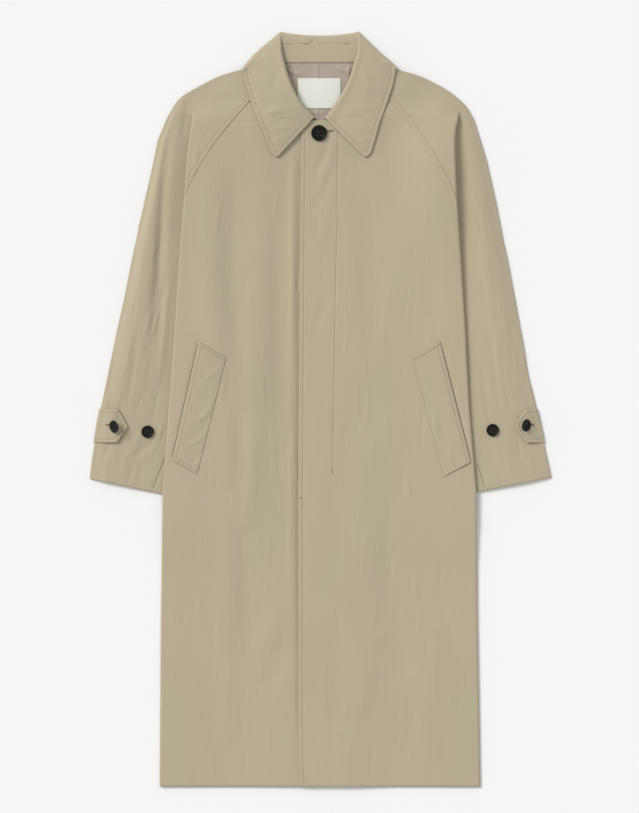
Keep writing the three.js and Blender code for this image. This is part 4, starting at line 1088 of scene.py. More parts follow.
def label_patch():
    heights = np.linspace(LABEL_TOP, LABEL_BOTTOM, LABEL_ROWS)
    left, right = np.full(len(heights), LABEL_LEFT), np.full(len(heights), LABEL_RIGHT)
    middle = straight_rows(heights, LABEL_COLUMNS, left, right, LABEL_LEVEL)
    x, y = middle[..., 0], middle[..., 1]
    middle[..., 2] += neck_lift(x, y, COLLAR_LIFT)
    width, height = LABEL_RIGHT - LABEL_LEFT, LABEL_TOP - LABEL_BOTTOM
    across = (x - LABEL_LEFT) / width
    along = (LABEL_TOP - y) / height
    relief = 0.0011 * np.sin(np.pi * across) * (0.3 + 0.7 * np.sin(np.pi * along))
    edge = np.minimum(np.minimum(across, 1 - across) * width, np.minimum(along, 1 - along) * height)
    relief -= 0.0003 * np.exp(-(((edge - LABEL_STITCH_INSET) / 0.0007) ** 2))
    return cloth_sheet("label_tape", middle, LINING_THICKNESS, relief)


tape = satin_material("label_tape", LABEL_WHITE, LABEL_GREY, 0.5)
label = sew_in(label_patch(), "label", tape)

# Collar. A stand sewn into the neck seam, and a leaf sewn to the stand that turns over it and falls
# on the fronts in two points. Both are two layers of cloth. Round the shoulders the leaf folds
# over the coat's edge and goes on under the back of the neck.
COLLAR_CLOTH = 0.0018


def named(columns, rows):
    """Rows of a table with names for their columns. A short row has only the first of them."""
    return [dict(zip(columns, row)) for row in rows]


# From the front end to the shoulder: u and height along the coat of the neck seam and of the roll,
# the roll's height above the surface, u and height along the coat of the leaf's edge, and how high
# the edge is where it doesn't lie on the coat
COLLAR_COLUMNS = ("neck", "roll", "z", "edge", "top")
COLLAR_LEFT = named(
    COLLAR_COLUMNS,
    [
        ((0.0080, 0.4650), (0.0096, 0.4672), 0.0145, (0.0696, 0.4032)),
        ((0.0280, 0.4720), (0.0180, 0.4765), 0.0160, (0.0765, 0.4090)),
        ((0.0480, 0.4825), (0.0250, 0.4820), 0.0175, (0.0850, 0.4280)),
        ((0.0580, 0.4950), (0.0362, 0.4990), 0.0190, (0.0963, 0.4565)),
        ((0.0675, 0.5120), (0.0455, 0.5170), 0.0200, (0.1095, 0.4890)),
        ((0.0760, 0.5280), (0.0520, 0.5350), 0.0190, (0.1183, 0.5170)),
        ((0.0820, 0.5410), (0.0570, 0.5530), 0.0175, (0.1228, 0.5350)),
        ((0.0860, 0.5490), (0.0610, 0.5680), 0.0155, (0.1237, 0.5460), 0.0110),
    ],
)
COLLAR_RIGHT = named(
    COLLAR_COLUMNS,
    [
        ((0.0070, 0.4640), (0.0068, 0.4662), 0.0135, (0.0712, 0.4032)),
        ((0.0280, 0.4720), (0.0150, 0.4765), 0.0145, (0.0790, 0.4095)),
        ((0.0480, 0.4825), (0.0200, 0.4837), 0.0152, (0.0845, 0.4250)),
        ((0.0580, 0.4950), (0.0326, 0.5030), 0.0160, (0.0940, 0.4580)),
        ((0.0675, 0.5120), (0.0420, 0.5200), 0.0164, (0.1060, 0.4910)),
        ((0.0760, 0.5280), (0.0490, 0.5380), 0.0160, (0.1150, 0.5190)),
        ((0.0820, 0.5410), (0.0540, 0.5550), 0.0154, (0.1190, 0.5380)),
        ((0.0860, 0.5490), (0.0580, 0.5680), 0.0145, (0.1200, 0.5480), 0.0112),
    ],
)
# Round the shoulder: "fold" is where the leaf turns under the coat, "top" how high it is there and
# "edge" where it ends under the coat. "seam" is how far up from the neck to the roll the stand goes.
CORNER_COLUMNS = ("neck", "roll", "z", "fold", "top", "seam", "edge")
CORNER_LEFT = named(
    CORNER_COLUMNS,
    [
        ((0.0880, 0.5510), (0.0620, 0.5730), 0.0150, (0.1240, 0.5480), 0.0108, 0.44),
        ((0.0890, 0.5530), (0.0625, 0.5790), 0.0138, (0.1170, 0.5560), 0.0100, 0.48, (0.1110, 0.5460)),
        ((0.0840, 0.5555), (0.0632, 0.5870), 0.0118, (0.1002, 0.5738), 0.0088, 0.54, (0.0860, 0.5460)),
        ((0.0740, 0.5558), (0.0638, 0.5935), 0.0098, (0.0838, 0.5875), 0.0076, 0.60, (0.0740, 0.5460)),
        ((0.0660, 0.5556), (0.0640, 0.5975), 0.0082, (0.0722, 0.5972), 0.0066, 0.66, (0.0660, 0.5455)),
        ((0.0600, 0.5555), (0.0630, 0.5995), 0.0070, (0.0643, 0.6038), 0.0060, 0.70, (0.0600, 0.5450)),
    ],
)
CORNER_RIGHT = named(
    CORNER_COLUMNS,
    [
        ((0.0880, 0.5510), (0.0590, 0.5730), 0.0142, (0.1204, 0.5496), 0.0108, 0.44),
        ((0.0890, 0.5530), (0.0595, 0.5790), 0.0138, (0.1130, 0.5560), 0.0100, 0.48, (0.1070, 0.5460)),
        ((0.0840, 0.5555), (0.0602, 0.5870), 0.0118, (0.0955, 0.5710), 0.0088, 0.54, (0.0830, 0.5460)),
        ((0.0730, 0.5558), (0.0608, 0.5935), 0.0098, (0.0800, 0.5860), 0.0076, 0.60, (0.0710, 0.5460)),
        ((0.0640, 0.5556), (0.0610, 0.5975), 0.0082, (0.0690, 0.5966), 0.0066, 0.66, (0.0630, 0.5455)),
        ((0.0570, 0.5555), (0.0600, 0.5995), 0.0070, (0.0613, 0.6038), 0.0060, 0.70, (0.0570, 0.5450)),
    ],
)
# Across the back of the neck: x and height along the coat of the top fold
COLLAR_BACK = [(-0.0570, 0.6026), (-0.0300, 0.5992), (0.0000, 0.5982), (0.0300, 0.5994), (0.0540, 0.6026)]
STAND_PART = 0.42
STAND_FOOT_Y = 0.5555
STAND_FOOT_Z = 0.0070
STAND_SEAM_Y = 0.5856
STAND_GAP = 0.0005
LEAF_CLEARANCE = 0.0019


def surface_tree(piece):
    """Finds the surface of a piece for what lies or is sewn on it."""
    mesh = piece.data
    return BVHTree.FromPolygons([v.co[:] for v in mesh.vertices], [p.vertices[:] for p in mesh.polygons])


def surface_at(trees, x, y):
    """Height of the highest of some surfaces at a place, and its normal."""
    best = None
    for tree in trees:
        place, normal, _, _ = tree.ray_cast(Vector((x, y, 0.2)), Vector((0, 0, -1)))
        if place is not None and (best is None or place.z > best[0]):
            best = (place.z, normal)
    return best or (0.0, Vector((0, 0, 1)))


body_trees = [surface_tree(piece) for piece in (*fronts.values(), *sleeve_fronts.values())]


def curve_through(points, spots):
    """A smooth curve, or a strip of them, through rows of points, at shares of its length."""
    points = np.asarray(points, float)
    steps = np.linalg.norm(np.diff(points, axis=0).reshape(len(points) - 1, -1), axis=1) + 1e-9
    chord = np.concatenate([[0], np.cumsum(steps)])
    chord /= chord[-1]
    slope = np.gradient(points, chord, axis=0)
    index = np.clip(np.searchsorted(chord, spots, side="right") - 1, 0, len(chord) - 2)
    width = chord[index + 1] - chord[index]
    shape = (-1,) + (1,) * (points.ndim - 1)
    part = ((spots - chord[index]) / width).reshape(shape)
    width = width.reshape(shape)
    start, end = points[index], points[index + 1]
    bend = (2 * part ** 3 - 3 * part ** 2 + 1) * start + (3 * part ** 2 - 2 * part ** 3) * end
    lean = (part ** 3 - 2 * part ** 2 + part) * slope[index] + (part ** 3 - part ** 2) * slope[index + 1]
    return bend + width * lean


def collar_section(entry, side):
    """Points of one section of stand and leaf, and the knots of the leaf at its roll and its folds."""
    def spot(name, z):
        u, y = entry[name]
        return np.array([side.sign * u, y, z])

    folded = "fold" in entry
    neck_z = STAND_FOOT_Z
    if not folded:
        u, y = entry["neck"]
        body = surface_at(body_trees, side.sign * u, min(y, 0.545))[0] - CLOTH / 2
        neck_z = max(body, 0.0068)
    neck_spot = spot("neck", neck_z)
    roll = spot("roll", entry["z"])
    outward = spot("fold" if folded else "edge", 0) - spot("roll", 0)
    reach = np.linalg.norm(outward)
    outward /= reach
    inward = spot("neck", 0) - spot("roll", 0)
    inward /= np.linalg.norm(inward)
    seam = lerp(neck_spot, roll, entry.get("seam", STAND_PART))

    def at(direction, distance, z):
        place = roll + direction * distance
        place[2] = z
        return place

    height = roll[2]
    inner_reach = np.linalg.norm((seam - roll)[:2])
    if folded:
        leaf_end = entry["top"]
        leaf_reach = reach - (leaf_end - FLOOR_LAYER) / 2
    else:
        x, y = spot("edge", 0)[:2]
        seated = surface_at(body_trees, x, y)[0] + LEAF_CLEARANCE + COLLAR_CLOTH / 2
        leaf_end = entry.get("top", seated)
        leaf_reach = reach
    turn = 0.0016 * min(1, leaf_reach / 0.02)
    leaf = [
        seam,
        at(inward, min(0.005, 0.6 * inner_reach), max(height - 0.0044, lerp(seam[2], height, 0.45))),
        at(inward, 0.0006, max(height - 0.0019, lerp(seam[2], height, 0.75))),
        at(outward, turn, height - 0.0001),
    ]
    for part in (0.14, 0.38, 0.68):
        crown = 0.0014 * math.sin(math.pi * part) * min(1, leaf_reach / 0.05)
        leaf.append(at(outward, lerp(turn, leaf_reach, part), lerp(height, leaf_end, part ** 0.9) + crown))
    leaf.append(at(outward, leaf_reach, leaf_end))
    knots = [leaf[3]]
    if folded:
        knots.append(leaf[7])
        leaf.append(at(outward, reach, (leaf_end + FLOOR_LAYER) / 2))
    if "edge" in entry and folded:
        leaf.append(at(outward, leaf_reach, FLOOR_LAYER))
        knots.append(leaf[9])
        leaf.append(spot("edge", FLOOR_LAYER))
    return np.array([neck_spot, seam]), np.array(leaf), knots


def collar_back_section(x, y):
    """Straight across the back of the neck, where the leaf turns over and lies under the stand."""
    stand = [(x, STAND_FOOT_Y, STAND_FOOT_Z), (x, STAND_SEAM_Y, 0.0066)]
    leaf = [
        (x, STAND_SEAM_Y, 0.0066),
        (x, y - 0.0080, 0.0065),
        (x, y - 0.0044, 0.0061),
        (x, y - 0.0026, 0.0056),
        (x, y - 0.0010, 0.0045),
        (x, y, 0.0030),
        (x, y - 0.0014, 0.0015),
        (x, y - 0.0040, FLOOR_LAYER),
        (x, 0.545, FLOOR_LAYER),
    ]
    return np.array(stand), np.array(leaf), [leaf[2], leaf[3], leaf[7]]


def collar_sections():
    left = [collar_section(entry, LEFT) for entry in COLLAR_LEFT + CORNER_LEFT]
    right = [collar_section(entry, RIGHT) for entry in COLLAR_RIGHT + CORNER_RIGHT]
    back_part = [collar_back_section(x, y) for x, y in COLLAR_BACK]
    return left + back_part + right[::-1]


# Columns of the leaf up to its roll, on to its edge or fold, round the fold, and under the coat
LEAF_PLAN = (17, 40, 10, 14)
LEAF_ROWS = 280
STAND_PLAN = (13,)
STAND_ROWS = 190


def even_section(points, counts, knots):
    """Points along one section. Where there is no fold its columns are drawn together at the edge."""
    fine = curve_through(points, np.linspace(0, 1, 400))
    along = np.concatenate([[0], np.cumsum(np.linalg.norm(np.diff(fine, axis=0), axis=1))])
    ends = [along[np.argmin(np.linalg.norm(fine - knot, axis=1))] for knot in knots]
    ends += [along[-1]] * (len(counts) - len(ends))
    goal = stretch_columns(np.array(ends), counts, 0, along[-1], closest=0.0002)
    return np.stack([np.interp(goal, along, fine[:, axis]) for axis in range(3)], axis=1)


def collar_grid(sections, rows, plan):
    strip = np.array([even_section(points, plan, knots) for points, knots in sections])
    return curve_through(strip, np.linspace(0, 1, rows))


def collar_stand():
    middle = collar_grid([(stand, []) for stand, _, _ in collar_sections()], STAND_ROWS, STAND_PLAN)
    length = np.linalg.norm(middle[:, -1] - middle[:, 0], axis=1)
    held = np.linspace(0, 1, STAND_PLAN[0] + 1)[None, :] * (1 - STAND_GAP / length)[:, None]
    middle = middle[:, :1] + (middle[:, -1:] - middle[:, :1]) * held[..., None]
    piece = cloth_sheet("collar_stand_cloth", middle, COLLAR_CLOTH, face_up=(95, 7))
    return sew_in(piece, "collar_stand", cloth)


collar_stand()
LEAF_CREASES = [
    ([(-0.075, 0.449), (-0.060, 0.451), (-0.050, 0.446)], 0.0024, 0.0010),
    ([(-0.079, 0.440), (-0.068, 0.439), (-0.058, 0.441)], 0.0018, -0.0008),
    ([(-0.074, 0.429), (-0.067, 0.432), (-0.059, 0.430)], 0.0016, 0.0009),
    ([(-0.070, 0.461), (-0.056, 0.465), (-0.042, 0.461)], 0.0026, -0.0010),
    ([(-0.090, 0.471), (-0.072, 0.478), (-0.058, 0.477)], 0.0036, 0.0014),
    ([(-0.088, 0.493), (-0.078, 0.493), (-0.066, 0.487)], 0.0040, -0.0010),
    ([(-0.071, 0.419), (-0.066, 0.421), (-0.062, 0.419)], 0.0014, -0.0006),
    ([(-0.108, 0.510), (-0.098, 0.500), (-0.092, 0.482)], 0.0050, 0.0010),
    ([(-0.064, 0.548), (-0.072, 0.530), (-0.076, 0.508)], 0.0060, -0.0010),
    ([(0.050, 0.447), (0.063, 0.451), (0.076, 0.448)], 0.0024, 0.0009),
    ([(0.062, 0.436), (0.070, 0.439), (0.081, 0.436)], 0.0017, -0.0008),
    ([(0.064, 0.428), (0.070, 0.430), (0.075, 0.427)], 0.0015, 0.0008),
    ([(0.042, 0.466), (0.058, 0.468), (0.074, 0.463)], 0.0028, -0.0009),
    ([(0.060, 0.482), (0.074, 0.481), (0.086, 0.476)], 0.0036, 0.0011),
    ([(0.074, 0.503), (0.086, 0.500), (0.094, 0.492)], 0.0042, -0.0009),
    ([(0.066, 0.545), (0.074, 0.528), (0.080, 0.510)], 0.0060, 0.0008),
    ([(-0.030, 0.594), (-0.026, 0.588), (-0.016, 0.581)], 0.0028, 0.0017),
    ([(-0.008, 0.594), (-0.012, 0.588), (-0.020, 0.583)], 0.0022, -0.0013),
    ([(0.034, 0.595), (0.038, 0.590), (0.044, 0.583)], 0.0022, 0.0015),
    ([(-0.056, 0.592), (-0.052, 0.586), (-0.050, 0.578)], 0.0020, 0.0013),
]
LEAF_STITCH_INSET = 0.0056


def leaf_edge_way(side, table):
    """Front edge and outer edge of the leaf on one side, from the roll round the point."""
    u, y = table[0]["roll"]
    way = [(side.sign * u, y)]
    way += [(side.sign * entry["edge"][0], entry["edge"][1]) for entry in table]
    return np.array(way)


def inset_way(way, inset):
    """A way moved sideways to its left by a distance, its corners kept sharp."""
    steps = np.diff(way, axis=0)
    steps /= np.linalg.norm(steps, axis=1, keepdims=True)
    sideways = np.stack([-steps[:, 1], steps[:, 0]], axis=1)
    before = np.concatenate([sideways[:1], sideways])
    after = np.concatenate([sideways, sideways[-1:]])
    middle = before + after
    middle /= np.sum(middle * before, axis=1, keepdims=True)
    return way + inset * middle


leaf_stitch = {
    LEFT: inset_way(leaf_edge_way(LEFT, COLLAR_LEFT), -LEAF_STITCH_INSET),
    RIGHT: inset_way(leaf_edge_way(RIGHT, COLLAR_RIGHT), LEAF_STITCH_INSET),
}
# On the left the line stops short of the fold at the shoulder
leaf_stitch[LEFT][-1] = lerp(leaf_stitch[LEFT][-2], leaf_stitch[LEFT][-1], 0.4)


def round_corner(middle, row_step, radius=0.0030):
    """Draws in the point of the leaf at the end of the grid, as a turned corner is."""
    rows = middle[::row_step]
    edge = rows[:, -1]
    down = np.concatenate([[0], np.cumsum(np.linalg.norm(np.diff(edge, axis=0), axis=1))])
    across = np.linalg.norm(np.diff(rows[0], axis=0), axis=1)
    from_edge = np.concatenate([np.cumsum(across[::-1])[::-1], [0]])
    a = np.clip(1 - down / radius, 0, 1)[:, None]
    b = np.clip(1 - from_edge / radius, 0, 1)[None, :]
    square, circle = np.maximum(a, b), np.hypot(a, b)
    shrink = np.where((a > 0) & (b > 0), 1 - square / np.maximum(circle, 1e-9), 0)
    inner_row = int(np.argmax(down > radius))
    inner_column = int(len(from_edge) - 1 - np.argmax(from_edge[::-1] > radius))
    goal = rows[inner_row, inner_column]
    rows += (goal - rows) * shrink[..., None]


def collar_leaf():
    middle = collar_grid([(leaf, knots) for _, leaf, knots in collar_sections()], LEAF_ROWS, LEAF_PLAN)
    middle[..., 2] = np.maximum(middle[..., 2], FLOOR_LAYER)
    round_corner(middle, 1)
    round_corner(middle, -1)
    x, y, z = middle[..., 0], middle[..., 1], middle[..., 2]
    relief = creased(x, y, LEAF_CREASES)
    for side in SIDES:
        relief += stitch_dent(x, y, leaf_stitch[side], 0.0004, 0.0014, 0.00022, 0.004)
    relief = np.where(z > 0.004, relief, 0)
    piece = cloth_sheet("collar_leaf_cloth", middle, COLLAR_CLOTH, relief, face_up=(30, 50))
    return sew_in(piece, "collar_leaf", cloth)


leaf = collar_leaf()

# Pocket welts. Each is a folded strip of the cloth over a slanted pocket mouth. Its outer long edge is
# the open one. Its inner edge is sewn flat to the front, and both its ends are stitched down twice.
WELT_OUTER_THICKNESS = 0.0017
WELT_INNER_THICKNESS = 0.0004
WELT_GAP = 0.0001
WELT_STITCH_INSET = 0.0056
WELT_END_INSETS = (0.0010, 0.0052)
WELT_INNER_INSET = 0.0012
WELT_ROWS = 150
WELT_COLUMNS = 44
WELT_PIPING_INSET = 0.0031
WELT_PIPING_HALF = 0.0023
WELT_PIPING_HEIGHT = 0.0009
WELT_CREASES = {
    LEFT: [
        ([(-0.160, 0.070), (-0.172, 0.056), (-0.186, 0.048)], 0.0045, 0.0006),
        ([(-0.166, 0.040), (-0.178, 0.022), (-0.192, 0.012)], 0.0045, -0.0006),
        ([(-0.172, 0.012), (-0.184, -0.010), (-0.200, -0.022)], 0.0050, 0.0008),
        ([(-0.180, -0.012), (-0.190, -0.030), (-0.204, -0.040)], 0.0040, -0.0008),
        ([(-0.186, -0.040), (-0.198, -0.052), (-0.214, -0.058)], 0.0045, 0.0007),
        ([(-0.194, -0.070), (-0.204, -0.082), (-0.214, -0.088)], 0.0035, -0.0007),
    ],
    RIGHT: [
        ([(0.158, 0.066), (0.166, 0.050), (0.176, 0.030)], 0.0050, 0.0006),
        ([(0.164, 0.040), (0.176, 0.018), (0.182, 0.000)], 0.0045, -0.0006),
        ([(0.176, 0.000), (0.184, -0.024), (0.192, -0.044)], 0.0050, 0.0007),
        ([(0.186, -0.030), (0.196, -0.050), (0.202, -0.070)], 0.0045, -0.0006),
        ([(0.198, -0.066), (0.208, -0.078), (0.214, -0.092)], 0.0040, 0.0006),
    ],
}


def seat(trees, x, y, rounds=3):
    """Heights of the surfaces under a grid of places, evened out a little."""
    z = np.array([[surface_at(trees, *spot)[0] for spot in zip(*row)] for row in zip(x, y)])
    evened = z
    for _ in range(rounds):
        padded = np.pad(evened, 1, "edge")
        beside = padded[1:-1, :-2] + padded[1:-1, 2:]
        above = padded[:-2, 1:-1] + padded[2:, 1:-1]
        evened = (beside + above + 2 * evened) / 6
    return np.maximum(z, evened)


front_trees = {side: [surface_tree(fronts[side])] for side in SIDES}


def welt(side):
    corners = np.array(WELT_CORNERS[side])
    outer_top, outer_bottom, inner_top, inner_bottom = corners
    down = np.linspace(0, 1, WELT_ROWS)[:, None, None]
    across = np.linspace(0, 1, WELT_COLUMNS)[None, :, None]
    place = lerp(lerp(outer_top, outer_bottom, down), lerp(inner_top, inner_bottom, down), across)
    x, y = place[..., 0], place[..., 1]
    across = across[..., 0]
    length = np.linalg.norm(outer_bottom - outer_top)
    from_end = np.minimum(down, 1 - down)[..., 0] * length
    thickness = lerp(WELT_OUTER_THICKNESS, WELT_INNER_THICKNESS, ease(across)) + 0 * x
    z = seat(front_trees[side], x, y) + WELT_GAP + thickness / 2
    piping = np.clip(1 - np.abs(from_end - WELT_PIPING_INSET) / WELT_PIPING_HALF, 0, 1) ** 0.5
    relief = WELT_PIPING_HEIGHT * piping + 1.5 * creased(x, y, WELT_CREASES[side])
    relief *= np.where(across < 0.04, 0.5, 1) * ease((1.02 - across) / 0.12)
    relief += stitch_dent(x, y, welt_stitches[side][0], 0.0005, 0.0011, 0.00014, 0.004)
    relief = np.maximum(relief, -0.0002)
    middle = np.stack([x, y, z], axis=2)
    node = f"welt_{side.wearer}"
    piece = cloth_sheet(f"{node}_cloth", middle, thickness, relief, face_up=(75, 22))
    return sew_in(piece, node, cloth)


def inside_welt(side, from_outer, from_inner, from_end):
    """The four corners of a welt moved in from its edges."""
    outer_top, outer_bottom, inner_top, inner_bottom = np.array(WELT_CORNERS[side])
    along = (outer_bottom - outer_top) / np.linalg.norm(outer_bottom - outer_top)
    over = (inner_top - outer_top) / np.linalg.norm(inner_top - outer_top)
    return (
        outer_top + along * from_end + over * from_outer,
        outer_bottom - along * from_end + over * from_outer,
        inner_top + along * from_end - over * from_inner,
        inner_bottom - along * from_end - over * from_inner,
    )


def welt_lines(side):
    """The stitched lines of a welt: beside the mouth, along the inner edge, twice at both ends."""
    near_end, far_end = WELT_END_INSETS
    outer = inside_welt(side, WELT_STITCH_INSET, WELT_INNER_INSET, far_end)
    lines = [outer[0:2], outer[2:4]]
    for inset in (near_end, far_end):
        corners = inside_welt(side, 0.0012, WELT_INNER_INSET, inset)
        lines += [corners[0::2], corners[1::2]]
    return [np.array(line) for line in lines]


# Painted shade: dark brown strips along the pocket mouths and underarm seams, and dark tubes in the
# buttonhole slits, stand for the shade there.
MOUTH_HALF = 0.0008
SEAM_HALF = 0.0003
SHADE_STRIP_THICKNESS = 0.0002
STRIP_LIFT = 0.0002
PAINTED_SHADE_BROWN = (0.190, 0.150, 0.096, 1)
PAINTED_SHADE_DEEP = (0.130, 0.100, 0.064, 1)


def painted_shade_strip(name, way, half, trees):
    """A narrow dark strip, pointed at both ends, laid in a mouth or a seam as painted shade."""
    start, end = np.array(way[0]), np.array(way[-1])
    run = (end - start) / np.linalg.norm(end - start)
    down = np.linspace(0, 1, 120)
    spots = soften_way(way)
    along = np.linspace(0, 1, len(spots))
    middle_line = np.stack([np.interp(down, along, spots[:, axis]) for axis in range(2)], axis=1)
    over = np.array([-run[1], run[0]]) * half
    across = np.linspace(-1, 1, 5)[None, :, None]
    place = middle_line[:, None] + over * across * (np.sin(np.pi * down) ** 0.25)[:, None, None]
    x, y = place[..., 0], place[..., 1]
    middle = np.stack([x, y, seat(trees, x, y) + STRIP_LIFT], axis=2)
    piece = cloth_sheet(name, middle, SHADE_STRIP_THICKNESS, face_up=(60, 2))
    del piece["cut"]
    piece.data.materials.append(painted_shade)
    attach(piece, "root")


welt_stitches = {side: welt_lines(side) for side in SIDES}
welts = {side: welt(side) for side in SIDES}
# Painted shade brown, for the strips and slits where shade falls.
painted_shade = satin_material("painted_shade_brown", PAINTED_SHADE_BROWN, PAINTED_SHADE_DEEP, 0.7)
# Painted shade: a dark strip along each pocket mouth, for the shade under the welt's open edge.
for side in SIDES:
    mouth = inside_welt(side, -0.0009, 0, 0.0030)[0:2]
    painted_shade_strip(f"pocket_mouth_shade_{side.wearer}", mouth, MOUTH_HALF, front_trees[side])

# Cuff tabs. Pointed straps of two layers, sewn in at the back of each sleeve. They come round its outer
# edge, and their points stand off a little. Each one is held by a button near its point.
TAB_TOP_Y = 0.0006
TAB_TIP_Y = -0.0276
TAB_BOTTOM_Y = -0.0524
# Height along the coat and u of the tab's inner end: corner, point, corner
TAB_END = [
    (TAB_TOP_Y, 0.3243, 0.3262),
    (TAB_TIP_Y, 0.3083, 0.3112),
    (TAB_BOTTOM_Y, 0.3253, 0.3300),
]
TAB_CLOTH = 0.0018
TAB_GAP = 0.0004
TAB_STANDS_OFF = 0.0022
TAB_STITCH_INSET = 0.0050
TAB_EDGE_OUT = 0.0020
TAB_EDGE_Z = 0.0026
TAB_FOOT_Z = 0.0012
TAB_ROWS = (38, 34)
TAB_COLUMNS = 44
tab_end = both_sides(TAB_END, soften=0.0)
sleeve_trees = {side: [surface_tree(sleeve_fronts[side])] for side in SIDES}
# Painted shade: a dark strip along each underarm seam beside the cuff, for the shade in that fold.
for side in SIDES:
    painted_shade_strip(f"underarm_seam_shade_{side.wearer}", UNDERARM_SEAM[side], SEAM_HALF, sleeve_trees[side])


def tab_way(side):
    """Outline of the part of a tab that shows, from its top round the point to its bottom."""
    top_outer = outline[side](TAB_TOP_Y)
    bottom_outer = outline[side](TAB_BOTTOM_Y)
    way = [(top_outer, TAB_TOP_Y)]
    way += [(row[1 + side.column], row[0]) for row in TAB_END]
    way.append((bottom_outer, TAB_BOTTOM_Y))
    return np.array([(side.sign * u, y) for u, y in way])


tab_stitch = {
    LEFT: inset_way(tab_way(LEFT), -TAB_STITCH_INSET),
    RIGHT: inset_way(tab_way(RIGHT), TAB_STITCH_INSET),
}


def cuff_tab(side):
    upper = np.linspace(TAB_TOP_Y, TAB_TIP_Y, TAB_ROWS[0])
    lower = np.linspace(TAB_TIP_Y, TAB_BOTTOM_Y, TAB_ROWS[1])
    heights = np.concatenate([upper, lower[1:]])
    part = np.linspace(0, 1, TAB_COLUMNS)
    inner = tab_end[side](heights)[:, None]
    outer = outline[side](heights)[:, None]
    u = lerp(inner, outer - 0.0040, part[None, :])
    x = side.sign * u
    y = np.broadcast_to(heights[:, None], u.shape)
    stands_off = TAB_STANDS_OFF * np.sin(np.pi * np.clip(0.24 + 0.76 * part, 0, 1)) ** 1.2
    low_corner = 0.0012 * ease((TAB_TIP_Y - y) / 0.02) * ease(1 - part * 1.6)
    z = seat(sleeve_trees[side], x, y, rounds=6) + TAB_GAP + TAB_CLOTH / 2 + stands_off + low_corner
    rows = []
    for spots in np.stack([x, y, z], axis=2):
        edge = side.sign * outline[side](spots[0, 1])
        turn = [
            (edge - side.sign * 0.0008, spots[0, 1], lerp(spots[-1, 2], TAB_EDGE_Z, 0.22)),
            (edge + side.sign * TAB_EDGE_OUT * 0.8, spots[0, 1], lerp(spots[-1, 2], TAB_EDGE_Z, 0.62)),
            (edge + side.sign * TAB_EDGE_OUT, spots[0, 1], TAB_EDGE_Z),
            (edge + side.sign * TAB_EDGE_OUT, spots[0, 1], TAB_FOOT_Z),
        ]
        over_edge = curve_through(np.concatenate([spots[-2:], turn]), np.linspace(0, 1, 24))
        rows.append(np.concatenate([spots[:-1], over_edge[3:]]))
    middle = np.array(rows)
    x, y = middle[..., 0], middle[..., 1]
    relief = stitch_dent(x, y, tab_stitch[side], 0.0005, 0.0010, 0.00012, 0.0035)
    node = f"cuff_tab_{side.wearer}"
    piece = cloth_sheet(f"{node}_cloth", middle, TAB_CLOTH, relief, face_up=(36, 20))
    return sew_in(piece, node, cloth)


tabs = {side: cuff_tab(side) for side in SIDES}

# Buttons. Near-black resin, turned with a raised rim round a dished middle, with four holes, and sewn
# on with thread of the same colour. The neck one is larger. A short stem of thread carries each.
BUTTON_THICKNESS = 0.16
HOLE_OFFSET = 0.38
HOLE_RADIUS = 0.115
HOLE_LIP = 0.030
DISH_RADIUS = 0.66
DISH_LEVEL = 0.62
# Profile beyond the dish: share of the radius, share of the thickness
BUTTON_PROFILE = [
    (0.70, 0.64),
    (0.74, 0.72),
    (0.78, 0.86),
    (0.83, 0.97),
    (0.88, 1.00),
    (0.93, 0.97),
    (0.97, 0.86),
    (0.995, 0.68),
    (1.00, 0.50),
    (0.985, 0.32),
    (0.94, 0.14),
    (0.86, 0.03),
    (0.78, 0.00),
]
BUTTON_BLACK = (0.0050, 0.0052, 0.0042, 1)
BUTTON_GREY = (0.0110, 0.0112, 0.0095, 1)
BUTTON_SEGMENTS = 64
HOLE_SEGMENTS = 20
NECK_BUTTON = 0.0256
CUFF_BUTTON = 0.0200
TAB_TILT = 0.80
TAB_TURN = 0.20


def circle(x, y, radius, count):
    angle = np.arange(count) * 2 * np.pi / count
    return np.stack([x + radius * np.cos(angle), y + radius * np.sin(angle)], axis=1)


def dish_triangles(loops):
    """Triangles between a button's dish rim and its four holes."""
    spots = np.concatenate(loops)
    edges = []
    start = 0
    for loop in loops:
        index = start + np.arange(len(loop))
        edges += list(zip(index.tolist(), np.roll(index, -1).tolist()))
        start += len(loop)
    flat = [Vector(spot) for spot in spots.tolist()]
    _, _, triangles, _, _, _ = delaunay_2d_cdt(flat, edges, [], 1, 1e-9)
    holes = [loop.mean(axis=0) for loop in loops[1:]]
    reach = np.linalg.norm(loops[1][0] - holes[0])
    kept = []
    for triangle in triangles:
        centre = spots[list(triangle)].mean(axis=0)
        if min(np.linalg.norm(centre - hole) for hole in holes) > reach:
            kept.append(list(triangle))
    return kept


